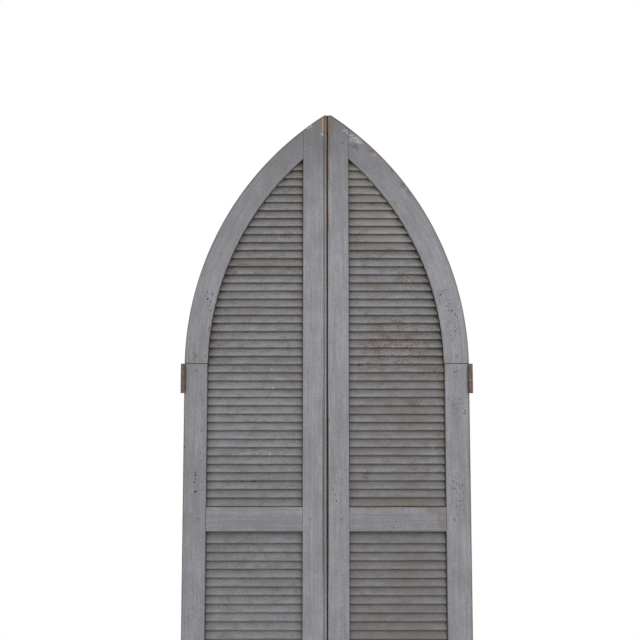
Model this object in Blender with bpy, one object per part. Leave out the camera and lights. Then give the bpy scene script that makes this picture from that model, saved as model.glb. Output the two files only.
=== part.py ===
"""Pair of arched louvered doors: two framed leaves that meet under a pointed arch, on lift-off butt hinges.

Metres, +Z up. The front faces -Y, the leaves stand on z = 0 and meet close to x = 0. Within a leaf, "out"
is the distance from the middle of the pair towards the hinges, so one set of sizes makes both leaves.
"""

import math
from dataclasses import dataclass

import bmesh
import bpy
from mathutils import Vector

# Overall sizes of the closed pair
LEAVES_WIDTH = 0.874
LEAF_THICKNESS = 0.035
SPRING_HEIGHT = 1.494
LEFT_ARCH_RADIUS = 0.945
RIGHT_ARCH_RADIUS = 0.953
TIP_CUT = 0.0048

# Frame members
LEFT_HINGE_STILE_WIDTH = 0.0695
RIGHT_HINGE_STILE_WIDTH = 0.0740
LEFT_MEETING_STILE_WIDTH = 0.0735
RIGHT_MEETING_STILE_WIDTH = 0.0667
LEFT_ARCHED_STILE_WIDTH = 0.0705
RIGHT_ARCHED_STILE_WIDTH = 0.0765
FOOT_JOINT_RISE = 0.0105
MID_RAIL_TOP = 1.070
MID_RAIL_WIDTH = 0.072
BOTTOM_RAIL_WIDTH = 0.140

# Meeting edges: a bead and quirk on the left leaf, a cut arris on the right one, backs eased for the swing
MEETING_OFFSET = 0.0007
MEETING_GAP = 0.0005
MEETING_NOSE_DEPTH = 0.007
SWING_CLEARANCE = 0.0004
BEAD_WIDTH = 0.0073
QUIRK_WIDTH = 0.0037
QUIRK_DEPTH = 0.0045
ARRIS_WIDTH = 0.0030
ARRIS_DEPTH = 0.0055

# Louvers: sloping slats whose ends sit in grooves in the frame, joined there by thin hidden strips
SLAT_PITCH = 0.0254
SLAT_WIDTH = 0.036
SLAT_THICKNESS = 0.008
SLAT_TILT = math.radians(57)
SLAT_RECESS = 0.005
FIRST_NOSE_RISE = 0.0025
SHORTEST_SLAT = 0.025
GROOVE_DEPTH = 0.010
LOUVER_CLEARANCE = 0.0005
STRIP_WIDTH = 0.004

# Tenons and pegs
FIT = 0.0003
TENON_THICKNESS = 0.011
RAIL_TENON_LENGTH = 0.045
RAIL_TENON_SHOULDER = 0.010
HEAD_TENON_LENGTH = 0.036
HEAD_TENON_SHOULDER = 0.020
LOOSE_TENON_WIDTH = 0.030
LOOSE_TENON_LENGTH = 0.090
LOOSE_TENON_INSET = 0.022
PEG_DIAMETER = 0.009
PEG_INSET = 0.022

# Lift-off hinges: the door half drops over a pin that stands in the jamb half
HINGE_HEIGHT = 0.090
LOWER_HINGE_TOP = 0.270
PLATE_DEPTH = 0.028
PLATE_THICKNESS = 0.003
KNUCKLE_DIAMETER = 0.013
AXIS_OUTSIDE = 0.0033
PIN_DIAMETER = 0.007
PIN_CLEARANCE = 0.0004
KNUCKLE_CAP = 0.004
KNUCKLE_WELD = 0.001
SCREW_LENGTH = 0.018
SCREW_SHANK_DIAMETER = 0.0042
SCREW_HEAD_DIAMETER = 0.0084
SCREW_HEAD_HEIGHT = 0.0024
SCREW_SLOT_WIDTH = 0.0012
SCREW_SLOT_DEPTH = 0.0010
SCREW_END_INSET = 0.015
SCREW_STAGGER = 0.004

# Facets of round shapes
ARC_SEGMENTS = 24
TIP_SEGMENTS = 8
BEAD_SEGMENTS = 8
KNUCKLE_SEGMENTS = 16
SMALL_SEGMENTS = 10
OVERLAP = 0.002

# Worked out from the sizes above
HALF_WIDTH = LEAVES_WIDTH / 2
LOWER_RADIUS = min(LEFT_ARCH_RADIUS, RIGHT_ARCH_RADIUS)
FOOT_JOINT_HEIGHT = SPRING_HEIGHT + FOOT_JOINT_RISE
MID_RAIL_BOTTOM = MID_RAIL_TOP - MID_RAIL_WIDTH
TIP_HEIGHT = SPRING_HEIGHT + math.sqrt((2 * LOWER_RADIUS - HALF_WIDTH) * HALF_WIDTH) - TIP_CUT
KNUCKLE_PROUD = KNUCKLE_DIAMETER + FIT
FRONT = (KNUCKLE_PROUD - LEAF_THICKNESS) / 2
BACK = FRONT + LEAF_THICKNESS
MIDDLE = FRONT + LEAF_THICKNESS / 2
AXIS_OUT = HALF_WIDTH + AXIS_OUTSIDE
AXIS_Y = FRONT - FIT - KNUCKLE_DIAMETER / 2
UPPER_HINGE_TOP = FOOT_JOINT_HEIGHT - 2 * FIT
NOSE_BACK = FRONT + SLAT_RECESS + SLAT_THICKNESS * math.sin(SLAT_TILT)
SLAT_RISE = SLAT_WIDTH * math.sin(SLAT_TILT) + SLAT_THICKNESS * math.cos(SLAT_TILT)
GROOVE_FRONT = FRONT + SLAT_RECESS - LOUVER_CLEARANCE
GROOVE_BACK = NOSE_BACK + SLAT_WIDTH * math.cos(SLAT_TILT) + LOUVER_CLEARANCE


def clear_scene():
    for leftover in list(bpy.data.objects):
        bpy.data.objects.remove(leftover, do_unlink=True)


def make_material(name, colour, roughness, metallic=0.0):
    material = bpy.data.materials.new(name)
    material.use_nodes = True
    shader = material.node_tree.nodes["Principled BSDF"]
    shader.inputs["Base Color"].default_value = (*colour, 1.0)
    shader.inputs["Roughness"].default_value = roughness
    shader.inputs["Metallic"].default_value = metallic
    material.diffuse_color = (*colour, 1.0)
    return material


clear_scene()
FRAME_PAINT = make_material("frame_paint", (0.262, 0.262, 0.292), 0.62)
SLAT_PAINT = make_material("slat_paint", (0.212, 0.202, 0.194), 0.70)
BARE_WOOD = make_material("bare_wood", (0.185, 0.150, 0.120), 0.75)
RUSTY_IRON = make_material("rusty_iron", (0.115, 0.062, 0.040), 0.80, 0.5)


@dataclass(frozen=True)
class Leaf:
    name: str
    side: int
    hinge_stile_width: float
    meeting_stile_width: float
    arch_radius: float
    arched_stile_width: float
    beaded: bool

    @property
    def meeting_edge(self):
        return MEETING_GAP / 2 + self.side * MEETING_OFFSET

    @property
    def meeting_inner(self):
        return self.meeting_edge + self.meeting_stile_width

    @property
    def hinge_inner(self):
        return HALF_WIDTH - self.hinge_stile_width

    @property
    def centre_over(self):
        """How far past the middle of the pair the arch's centre lies."""
        return self.arch_radius - HALF_WIDTH

    @property
    def inner_radius(self):
        return self.arch_radius - self.arched_stile_width

    @property
    def slat_radius(self):
        """The radius at which the slats end in the arched stile's groove."""
        return self.inner_radius + GROOVE_DEPTH - LOUVER_CLEARANCE

    def arch_height(self, out, radius):
        return SPRING_HEIGHT + math.sqrt(radius**2 - (out + self.centre_over) ** 2)

    def arch_out(self, height, radius):
        return math.sqrt(radius**2 - (height - SPRING_HEIGHT) ** 2) - self.centre_over

    @property
    def slat_start(self):
        return self.meeting_inner - GROOVE_DEPTH + LOUVER_CLEARANCE

    def slat_end(self, height):
        """Where a slat ends on the hinge side: in the straight stile's groove, or in the arched one's."""
        straight = self.hinge_inner + GROOVE_DEPTH - LOUVER_CLEARANCE
        return min(straight, self.arch_out(max(height, SPRING_HEIGHT), self.slat_radius))

    @property
    def shortest_slat_height(self):
        """The height at which the top slat's upper edge has narrowed to the shortest that is made."""
        return self.arch_height(self.slat_start + SHORTEST_SLAT, self.slat_radius)

    def at(self, out, y, z):
        return Vector((self.side * out, y, z))


LEAVES = (
    Leaf(
        "left", -1, LEFT_HINGE_STILE_WIDTH, LEFT_MEETING_STILE_WIDTH, LEFT_ARCH_RADIUS,
        LEFT_ARCHED_STILE_WIDTH, True,
    ),
    Leaf(
        "right", 1, RIGHT_HINGE_STILE_WIDTH, RIGHT_MEETING_STILE_WIDTH, RIGHT_ARCH_RADIUS,
        RIGHT_ARCHED_STILE_WIDTH, False,
    ),
)
LOUVER_TOP = min(leaf.shortest_slat_height for leaf in LEAVES)


def arc_points(leaf, radius, low_height, inner_out):
    """(out, height) points up one arc of the arch, from a height to a distance from the middle."""
    start = math.asin((low_height - SPRING_HEIGHT) / radius)
    end = math.acos((inner_out + leaf.centre_over) / radius)
    points = []
    for step in range(ARC_SEGMENTS + 1):
        angle = start + (end - start) * step / ARC_SEGMENTS
        out = radius * math.cos(angle) - leaf.centre_over
        points.append((out, SPRING_HEIGHT + radius * math.sin(angle)))
    return points


def add_prism(shape, outline, along):
    """A closed prism: the outline's face pushed by a vector."""
    face = shape.faces.new([shape.verts.new(point) for point in outline])
    pushed = bmesh.ops.extrude_face_region(shape, geom=[face])["geom"]
    moved = [item for item in pushed if isinstance(item, bmesh.types.BMVert)]
    bmesh.ops.translate(shape, verts=moved, vec=along)


def add_box(shape, leaf, outs, ys, zs):
    corners = [leaf.at(outs[0], ys[0], zs[0]), leaf.at(outs[1], ys[0], zs[0])]
    corners += [leaf.at(outs[1], ys[0], zs[1]), leaf.at(outs[0], ys[0], zs[1])]
    add_prism(shape, corners, Vector((0, ys[1] - ys[0], 0)))


def add_front_prism(shape, leaf, outline, ys):
    """A prism from front to back, from (out, height) points."""
    add_prism(shape, [leaf.at(out, ys[0], z) for out, z in outline], Vector((0, ys[1] - ys[0], 0)))


def add_turned(shape, profile, base, direction, segments):
    """A turned solid from (radius, distance) pairs that start and end on the axis."""
    before = set(shape.verts)
    line = [shape.verts.new((radius, 0, distance)) for radius, distance in profile]
    edges = [shape.edges.new(pair) for pair in zip(line, line[1:])]
    whole_turn = {"axis": (0, 0, 1), "cent": (0, 0, 0), "angle": math.tau, "steps": segments}
    bmesh.ops.spin(shape, geom=line + edges, use_merge=True, **whole_turn)
    fresh = [vert for vert in shape.verts if vert not in before]
    bmesh.ops.remove_doubles(shape, verts=fresh, dist=1e-6)
    fresh = [vert for vert in shape.verts if vert not in before]
    turn = Vector((0, 0, 1)).rotation_difference(Vector(direction)).to_matrix()
    bmesh.ops.rotate(shape, verts=fresh, cent=(0, 0, 0), matrix=turn)
    bmesh.ops.translate(shape, verts=fresh, vec=base)


def add_cylinder(shape, radius, base, direction, length, segments):
    add_turned(shape, [(0, 0), (radius, 0), (radius, length), (0, length)], base, direction, segments)


def world_origin(holder):
    return holder.location + (world_origin(holder.parent) if holder.parent else Vector())


def make_piece(name, shape, material, parent, origin, rounded=False):
    """One named object with its origin at a world point, under the parent that it moves with."""
    bmesh.ops.recalc_face_normals(shape, faces=shape.faces)
    bmesh.ops.translate(shape, verts=shape.verts, vec=-origin)
    mesh = bpy.data.meshes.new(name)
    shape.to_mesh(mesh)
    shape.free()
    mesh.materials.append(material)
    if rounded:
        mesh.shade_smooth()
        mesh.set_sharp_from_angle(angle=math.radians(40))
    piece = bpy.data.objects.new(name, mesh)
    bpy.context.scene.collection.objects.link(piece)
    piece.parent = parent
    piece.location = origin - world_origin(parent)
    return piece


def combine(piece, operation, label, shape):
    """A Boolean on the piece, with a hidden helper that rides with it."""
    material = piece.data.materials[0]
    helper = make_piece(f"{piece.name}.{label}", shape, material, piece, world_origin(piece))
    helper.hide_render = True
    helper.display_type = "WIRE"
    boolean = piece.modifiers.new(label, "BOOLEAN")
    boolean.operation = operation
    boolean.solver = "EXACT"
    boolean.object = helper


def make_axis(name, location):
    axis = bpy.data.objects.new(name, None)
    axis.empty_display_size = 0.1
    axis.location = location
    bpy.context.scene.collection.objects.link(axis)
    return axis


def tenon_depths(clearance=0.0):
    half = TENON_THICKNESS / 2 + clearance
    return MIDDLE - half, MIDDLE + half


def rail_tenon_heights(bottom, top, clearance=0.0):
    return bottom + RAIL_TENON_SHOULDER - clearance, top - RAIL_TENON_SHOULDER + clearance


def head_tenon_heights(leaf, clearance=0.0):
    low = leaf.arch_height(leaf.meeting_inner, leaf.inner_radius) + HEAD_TENON_SHOULDER
    high = leaf.arch_height(leaf.meeting_inner, leaf.arch_radius) - HEAD_TENON_SHOULDER
    return low - clearance, high + clearance


def loose_tenon_outs(clearance=0.0):
    far = HALF_WIDTH - LOOSE_TENON_INSET
    return far - LOOSE_TENON_WIDTH - clearance, far + clearance


def peg_places(leaf):
    """Name, distance out and height of each peg, keyed by the joint that it locks."""
    rail_middles = {"mid_rail": MID_RAIL_TOP - MID_RAIL_WIDTH / 2, "bottom_rail": BOTTOM_RAIL_WIDTH / 2}
    places = {}
    for rail, height in rail_middles.items():
        places[f"{rail}_peg_outer"] = (leaf.hinge_inner + PEG_INSET, height)
        places[f"{rail}_peg_inner"] = (leaf.meeting_inner - PEG_INSET, height)
    springing_out = sum(loose_tenon_outs()) / 2
    places["springing_peg_upper"] = (springing_out, FOOT_JOINT_HEIGHT + PEG_INSET)
    places["springing_peg_lower"] = (springing_out, FOOT_JOINT_HEIGHT - PEG_INSET)
    places["head_peg"] = (leaf.meeting_inner - HEAD_TENON_LENGTH / 2, sum(head_tenon_heights(leaf)) / 2)
    return places


def add_peg_holes(shape, leaf, *joints):
    length = LEAF_THICKNESS + 2 * OVERLAP
    for name, (out, height) in peg_places(leaf).items():
        if name.startswith(joints):
            base = leaf.at(out, FRONT - OVERLAP, height)
            add_cylinder(shape, PEG_DIAMETER / 2 + FIT, base, (0, 1, 0), length, SMALL_SEGMENTS)


def cut_peg_holes(piece, leaf, *joints):
    holes = bmesh.new()
    add_peg_holes(holes, leaf, *joints)
    combine(piece, "DIFFERENCE", "peg_holes", holes)


def make_pegs(leaf, parent):
    for name, (out, height) in peg_places(leaf).items():
        shape = bmesh.new()
        base = leaf.at(out, FRONT, height)
        add_cylinder(shape, PEG_DIAMETER / 2, base, (0, 1, 0), LEAF_THICKNESS, SMALL_SEGMENTS)
        make_piece(f"{leaf.name}_{name}", shape, FRAME_PAINT, parent, base, rounded=True)


def add_rail_mortises(shape, leaf, face_out, deep_out):
    """The mid and bottom rails' mortises, from the stile's inner face to their floors."""
    for bottom, top in ((MID_RAIL_BOTTOM, MID_RAIL_TOP), (0.0, BOTTOM_RAIL_WIDTH)):
        add_box(shape, leaf, (face_out, deep_out), tenon_depths(FIT), rail_tenon_heights(bottom, top, FIT))


def hinge_tops():
    return {"upper": UPPER_HINGE_TOP, "lower": LOWER_HINGE_TOP}


def bed_heights(top):
    """Low and high ends of a hinge's bed; the upper hinge's bed runs out through the top of the stile."""
    open_end = FOOT_JOINT_HEIGHT + OVERLAP
    return top - HINGE_HEIGHT - FIT, open_end if top == UPPER_HINGE_TOP else top + FIT


def screw_places(top):
    """(y, height) of each screw in a hinge plate, zigzag down the plate."""
    middle = FRONT + PLATE_DEPTH / 2
    return {
        "top": (middle - SCREW_STAGGER, top - SCREW_END_INSET),
        "middle": (middle + SCREW_STAGGER, top - HINGE_HEIGHT / 2),
        "bottom": (middle - SCREW_STAGGER, top - HINGE_HEIGHT + SCREW_END_INSET),
    }


def add_screw_pilots(shape, leaf, top):
    radius = SCREW_SHANK_DIAMETER / 2 + FIT
    for y, height in screw_places(top).values():
        base = leaf.at(HALF_WIDTH + OVERLAP, y, height)
        length = SCREW_LENGTH + FIT + OVERLAP
        add_cylinder(shape, radius, base, (-leaf.side, 0, 0), length, SMALL_SEGMENTS)


def make_hinge_stile(leaf, parent):
    shape = bmesh.new()
    add_box(shape, leaf, (leaf.hinge_inner, HALF_WIDTH), (FRONT, BACK), (0, FOOT_JOINT_HEIGHT - FIT))
    stile = make_piece(f"{leaf.name}_hinge_stile", shape, FRAME_PAINT, parent, leaf.at(HALF_WIDTH, FRONT, 0))
    sockets = bmesh.new()
    groove = (leaf.hinge_inner - OVERLAP, leaf.hinge_inner + GROOVE_DEPTH)
    above = FOOT_JOINT_HEIGHT + OVERLAP
    add_box(sockets, leaf, groove, (GROOVE_FRONT, GROOVE_BACK), (MID_RAIL_TOP + OVERLAP, above))
    lower = (BOTTOM_RAIL_WIDTH + OVERLAP, MID_RAIL_BOTTOM - OVERLAP)
    add_box(sockets, leaf, groove, (GROOVE_FRONT, GROOVE_BACK), lower)
    mortise_floor = leaf.hinge_inner + RAIL_TENON_LENGTH + FIT
    add_rail_mortises(sockets, leaf, leaf.hinge_inner - OVERLAP, mortise_floor)
    floor = FOOT_JOINT_HEIGHT - LOOSE_TENON_LENGTH / 2 - FIT
    add_box(sockets, leaf, loose_tenon_outs(FIT), tenon_depths(FIT), (floor, above))
    for top in hinge_tops().values():
        bed = (HALF_WIDTH - PLATE_THICKNESS - FIT, HALF_WIDTH + OVERLAP)
        add_box(sockets, leaf, bed, (FRONT - OVERLAP, FRONT + PLATE_DEPTH + FIT), bed_heights(top))
    combine(stile, "DIFFERENCE", "sockets", sockets)
    holes = bmesh.new()
    add_peg_holes(holes, leaf, "mid_rail_peg_outer", "bottom_rail_peg_outer", "springing_peg_lower")
    for top in hinge_tops().values():
        add_screw_pilots(holes, leaf, top)
    combine(stile, "DIFFERENCE", "holes", holes)


def make_arched_stile(leaf, parent):
    shoulder = leaf.meeting_inner + FIT
    outer = arc_points(leaf, leaf.arch_radius, FOOT_JOINT_HEIGHT, shoulder)
    inner = arc_points(leaf, leaf.inner_radius, FOOT_JOINT_HEIGHT, shoulder)
    shape = bmesh.new()
    add_front_prism(shape, leaf, outer + inner[::-1], (FRONT, BACK))
    origin = leaf.at(HALF_WIDTH, FRONT, FOOT_JOINT_HEIGHT)
    stile = make_piece(f"{leaf.name}_arched_stile", shape, FRAME_PAINT, parent, origin)
    tenon = bmesh.new()
    tenon_outs = (leaf.meeting_inner - HEAD_TENON_LENGTH, shoulder + OVERLAP)
    add_box(tenon, leaf, tenon_outs, tenon_depths(), head_tenon_heights(leaf))
    combine(stile, "UNION", "head_tenon", tenon)
    sockets = bmesh.new()
    below = FOOT_JOINT_HEIGHT - OVERLAP
    groove_end = leaf.meeting_inner - OVERLAP
    groove_floor = arc_points(leaf, leaf.inner_radius + GROOVE_DEPTH, below, groove_end)
    groove_mouth = arc_points(leaf, leaf.inner_radius - OVERLAP, below, groove_end)
    add_front_prism(sockets, leaf, groove_floor + groove_mouth[::-1], (GROOVE_FRONT, GROOVE_BACK))
    ceiling = FOOT_JOINT_HEIGHT + LOOSE_TENON_LENGTH / 2 + FIT
    add_box(sockets, leaf, loose_tenon_outs(FIT), tenon_depths(FIT), (below, ceiling))
    combine(stile, "DIFFERENCE", "sockets", sockets)
    cut_peg_holes(stile, leaf, "springing_peg_upper", "head_peg")


def swing_relief(leaf, depth):
    """How far a point this deep in the meeting edge swings past its place as the leaf opens."""
    reach = AXIS_OUT - leaf.meeting_edge
    behind_axis = FRONT + depth - AXIS_Y
    return math.hypot(reach, behind_axis) - reach


def meeting_section(leaf):
    """(out, y) outline of the meeting stile: inner face, front, bead or arris, nose, eased edge and back."""
    edge = leaf.meeting_edge
    section = [(leaf.meeting_inner, FRONT)]
    if leaf.beaded:
        radius = BEAD_WIDTH / 2
        quirk = edge + BEAD_WIDTH + QUIRK_WIDTH
        section += [(quirk, FRONT), (quirk, FRONT + QUIRK_DEPTH)]
        section += [(edge + BEAD_WIDTH, FRONT + QUIRK_DEPTH)]
        for step in range(BEAD_SEGMENTS + 1):
            angle = math.pi * step / BEAD_SEGMENTS
            round_out = edge + radius + radius * math.cos(angle)
            section += [(round_out, FRONT + radius - radius * math.sin(angle))]
    else:
        section += [(edge + ARRIS_WIDTH, FRONT), (edge + ARRIS_WIDTH, FRONT + ARRIS_DEPTH)]
        section += [(edge, FRONT + ARRIS_DEPTH)]
    section += [(edge, FRONT + MEETING_NOSE_DEPTH)]
    eased = edge + swing_relief(leaf, LEAF_THICKNESS) + SWING_CLEARANCE
    section += [(eased, BACK), (leaf.meeting_inner, BACK)]
    return section


def make_meeting_stile(leaf, parent):
    shape = bmesh.new()
    over_tip = TIP_HEIGHT + 2 * TIP_CUT
    outline = [leaf.at(out, y, 0) for out, y in meeting_section(leaf)]
    add_prism(shape, outline, Vector((0, 0, over_tip)))
    origin = leaf.at(leaf.meeting_inner, FRONT, 0)
    stile = make_piece(f"{leaf.name}_meeting_stile", shape, FRAME_PAINT, parent, origin)
    top_cut = bmesh.new()
    tip_out = leaf.arch_out(TIP_HEIGHT, leaf.arch_radius)
    inner_out = leaf.meeting_inner + OVERLAP
    crown = [(leaf.meeting_edge - OVERLAP, TIP_HEIGHT)]
    for step in range(TIP_SEGMENTS + 1):
        out = tip_out + (inner_out - tip_out) * step / TIP_SEGMENTS
        crown.append((out, leaf.arch_height(out, leaf.arch_radius)))
    crown += [(inner_out, over_tip + OVERLAP), (leaf.meeting_edge - OVERLAP, over_tip + OVERLAP)]
    add_front_prism(top_cut, leaf, crown, (FRONT - OVERLAP, BACK + OVERLAP))
    combine(stile, "DIFFERENCE", "arch_cut", top_cut)
    sockets = bmesh.new()
    groove = (leaf.meeting_inner - GROOVE_DEPTH, leaf.meeting_inner + OVERLAP)
    upper = (MID_RAIL_TOP + OVERLAP, LOUVER_TOP + LOUVER_CLEARANCE)
    add_box(sockets, leaf, groove, (GROOVE_FRONT, GROOVE_BACK), upper)
    lower = (BOTTOM_RAIL_WIDTH + OVERLAP, MID_RAIL_BOTTOM - OVERLAP)
    add_box(sockets, leaf, groove, (GROOVE_FRONT, GROOVE_BACK), lower)
    mortise_floor = leaf.meeting_inner - RAIL_TENON_LENGTH - FIT
    add_rail_mortises(sockets, leaf, leaf.meeting_inner + OVERLAP, mortise_floor)
    head = (leaf.meeting_inner - HEAD_TENON_LENGTH - FIT, leaf.meeting_inner + OVERLAP)
    add_box(sockets, leaf, head, tenon_depths(FIT), head_tenon_heights(leaf, FIT))
    combine(stile, "DIFFERENCE", "sockets", sockets)
    cut_peg_holes(stile, leaf, "mid_rail_peg_inner", "bottom_rail_peg_inner", "head_peg")


def make_rail(leaf, parent, label, bottom, top):
    shape = bmesh.new()
    add_box(shape, leaf, (leaf.meeting_inner + FIT, leaf.hinge_inner - FIT), (FRONT, BACK), (bottom, top))
    origin = leaf.at(leaf.meeting_inner, FRONT, bottom)
    rail = make_piece(f"{leaf.name}_{label}", shape, FRAME_PAINT, parent, origin)
    tenons = bmesh.new()
    heights = rail_tenon_heights(bottom, top)
    inner_end = leaf.meeting_inner - RAIL_TENON_LENGTH
    outer_end = leaf.hinge_inner + RAIL_TENON_LENGTH
    add_box(tenons, leaf, (inner_end, leaf.meeting_inner + OVERLAP), tenon_depths(), heights)
    add_box(tenons, leaf, (leaf.hinge_inner - OVERLAP, outer_end), tenon_depths(), heights)
    combine(rail, "UNION", "tenons", tenons)
    cut_peg_holes(rail, leaf, f"{label}_peg")


def make_loose_tenon(leaf, parent):
    shape = bmesh.new()
    half = LOOSE_TENON_LENGTH / 2
    heights = (FOOT_JOINT_HEIGHT - half, FOOT_JOINT_HEIGHT + half)
    add_box(shape, leaf, loose_tenon_outs(), tenon_depths(), heights)
    origin = leaf.at(sum(loose_tenon_outs()) / 2, MIDDLE, FOOT_JOINT_HEIGHT)
    tenon = make_piece(f"{leaf.name}_springing_tenon", shape, BARE_WOOD, parent, origin)
    cut_peg_holes(tenon, leaf, "springing_peg")


def slat_section(nose_height):
    """(y, height) corners of one slat, from its nose's lower edge up the slope to its back and round."""
    along = Vector((math.cos(SLAT_TILT), math.sin(SLAT_TILT))) * SLAT_WIDTH
    across = Vector((-math.sin(SLAT_TILT), math.cos(SLAT_TILT))) * SLAT_THICKNESS
    nose = Vector((NOSE_BACK, nose_height))
    return [nose, nose + along, nose + along + across, nose + across]


def nose_heights(bottom, top):
    """Evenly spaced slats, as near to the pitch as lets the topmost one reach the top of its opening."""
    first = bottom + FIRST_NOSE_RISE
    last = top - SLAT_RISE
    count = round((last - first) / SLAT_PITCH)
    return [first + (last - first) * step / count for step in range(count + 1)]


def add_slat(shape, leaf, section):
    """One slat, each corner running into the end strips beside it."""
    bury = STRIP_WIDTH / 2
    near = [shape.verts.new(leaf.at(leaf.slat_start + bury, y, z)) for y, z in section]
    far = [shape.verts.new(leaf.at(leaf.slat_end(z) - bury, y, z)) for y, z in section]
    shape.faces.new(near)
    shape.faces.new(far[::-1])
    for this in range(len(section)):
        following = (this + 1) % len(section)
        shape.faces.new((near[this], far[this], far[following], near[following]))


def add_end_strips(shape, leaf, low, high):
    """The two strips that tie the slats' ends together, hidden in the grooves."""
    depths = (GROOVE_FRONT + LOUVER_CLEARANCE / 2, GROOVE_BACK - LOUVER_CLEARANCE / 2)
    add_box(shape, leaf, (leaf.slat_start, leaf.slat_start + STRIP_WIDTH), depths, (low, high))
    levels = [low]
    if high > SPRING_HEIGHT:
        rise = high - SPRING_HEIGHT
        levels += [SPRING_HEIGHT + rise * step / ARC_SEGMENTS for step in range(ARC_SEGMENTS)]
    levels.append(high)
    outer = [(leaf.slat_end(level), level) for level in levels]
    inner = [(out - STRIP_WIDTH, level) for out, level in outer]
    add_front_prism(shape, leaf, outer + inner[::-1], depths)


def make_louvers(leaf, parent, label, bottom, top):
    sections = [slat_section(height) for height in nose_heights(bottom, top)]
    shape = bmesh.new()
    for section in sections:
        add_slat(shape, leaf, section)
    origin = leaf.at(leaf.slat_start, MIDDLE, bottom)
    bank = make_piece(f"{leaf.name}_{label}", shape, SLAT_PAINT, parent, origin)
    strips = bmesh.new()
    lowest = sections[0][0].y - LOUVER_CLEARANCE / 2
    highest = sections[-1][2].y + LOUVER_CLEARANCE / 2
    add_end_strips(strips, leaf, lowest, highest)
    combine(bank, "UNION", "end_strips", strips)


def screw_profile():
    head = SCREW_HEAD_DIAMETER / 2
    shank = SCREW_SHANK_DIAMETER / 2
    return [(0, 0), (head, 0), (shank, SCREW_HEAD_HEIGHT), (shank, SCREW_LENGTH), (0, SCREW_LENGTH)]


def screw_hole_profile():
    """The screw's own profile with clearance, starting proud of the face that it is cut from."""
    head = SCREW_HEAD_DIAMETER / 2 + FIT
    shank = SCREW_SHANK_DIAMETER / 2 + FIT
    mouth = [(0, -OVERLAP), (head, -OVERLAP), (head, FIT), (shank, SCREW_HEAD_HEIGHT + FIT)]
    return mouth + [(shank, SCREW_LENGTH), (0, SCREW_LENGTH)]


def cut_screw_holes(half, leaf, top, face_out, inward):
    """Countersunk holes in a plate, from the face that the screw heads lie in."""
    holes = bmesh.new()
    for y, height in screw_places(top).values():
        base = leaf.at(face_out, y, height)
        add_turned(holes, screw_hole_profile(), base, (leaf.side * inward, 0, 0), SMALL_SEGMENTS)
    combine(half, "DIFFERENCE", "screw_holes", holes)


def plate_outline(top, knuckle):
    """(y, height) outline of a hinge plate: clear of the other half's knuckle, with a tab into its own."""
    low = top - HINGE_HEIGHT
    back = FRONT + PLATE_DEPTH
    notch = AXIS_Y + math.sqrt((KNUCKLE_DIAMETER / 2 + SWING_CLEARANCE) ** 2 - AXIS_OUTSIDE**2)
    tab = AXIS_Y + math.sqrt((KNUCKLE_DIAMETER / 2 - KNUCKLE_WELD) ** 2 - AXIS_OUTSIDE**2)
    ends = [(tab, knuckle[1]), (tab, knuckle[0])]
    if knuckle[1] == top:
        return [(back, low), (back, top), *ends, (notch, knuckle[0]), (notch, low)]
    return [(back, low), (back, top), (notch, top), (notch, knuckle[1]), *ends]


def make_hinge_half(leaf, parent, name, top, plate_outs, knuckle, bore):
    """A plate with its knuckle, bored for the pin. knuckle and bore are (low, high) heights."""
    shape = bmesh.new()
    outline = [leaf.at(plate_outs[0], y, z) for y, z in plate_outline(top, knuckle)]
    add_prism(shape, outline, leaf.at(plate_outs[1] - plate_outs[0], 0, 0))
    axis_low = leaf.at(AXIS_OUT, AXIS_Y, knuckle[0])
    half = make_piece(name, shape, RUSTY_IRON, parent, axis_low)
    barrel = bmesh.new()
    barrel_height = knuckle[1] - knuckle[0]
    add_cylinder(barrel, KNUCKLE_DIAMETER / 2, axis_low, (0, 0, 1), barrel_height, KNUCKLE_SEGMENTS)
    combine(half, "UNION", "barrel", barrel)
    bore_cut = bmesh.new()
    bore_low = leaf.at(AXIS_OUT, AXIS_Y, bore[0])
    radius = PIN_DIAMETER / 2 + PIN_CLEARANCE
    add_cylinder(bore_cut, radius, bore_low, (0, 0, 1), bore[1] - bore[0], KNUCKLE_SEGMENTS)
    combine(half, "DIFFERENCE", "pin_bore", bore_cut)
    return half


def make_hinge(leaf, parent, jamb, label, top):
    name = f"{leaf.name}_{label}_hinge"
    low = top - HINGE_HEIGHT
    split = top - HINGE_HEIGHT / 2
    bore_top = top - KNUCKLE_CAP
    door_outs = (HALF_WIDTH - PLATE_THICKNESS, HALF_WIDTH)
    door_knuckle = (split + FIT / 2, top)
    door_half = make_hinge_half(
        leaf, parent, f"{name}_door_half", top, door_outs, door_knuckle, (split - OVERLAP, bore_top)
    )
    cut_screw_holes(door_half, leaf, top, HALF_WIDTH, -1)
    jamb_face = AXIS_OUT + AXIS_OUTSIDE
    jamb_knuckle = (low, split - FIT / 2)
    jamb_half = make_hinge_half(
        leaf, jamb, f"{name}_jamb_half", top, (jamb_face, jamb_face + PLATE_THICKNESS), jamb_knuckle,
        (low - OVERLAP, split + OVERLAP),
    )
    cut_screw_holes(jamb_half, leaf, top, jamb_face, 1)
    pin = bmesh.new()
    pin_base = leaf.at(AXIS_OUT, AXIS_Y, low)
    pin_length = bore_top - low - FIT
    add_cylinder(pin, PIN_DIAMETER / 2, pin_base, (0, 0, 1), pin_length, KNUCKLE_SEGMENTS)
    make_piece(f"{name}_pin", pin, RUSTY_IRON, jamb, pin_base, rounded=True)
    for place, (y, height) in screw_places(top).items():
        make_screw(leaf, parent, f"{name}_screw_{place}", y, height)


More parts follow.
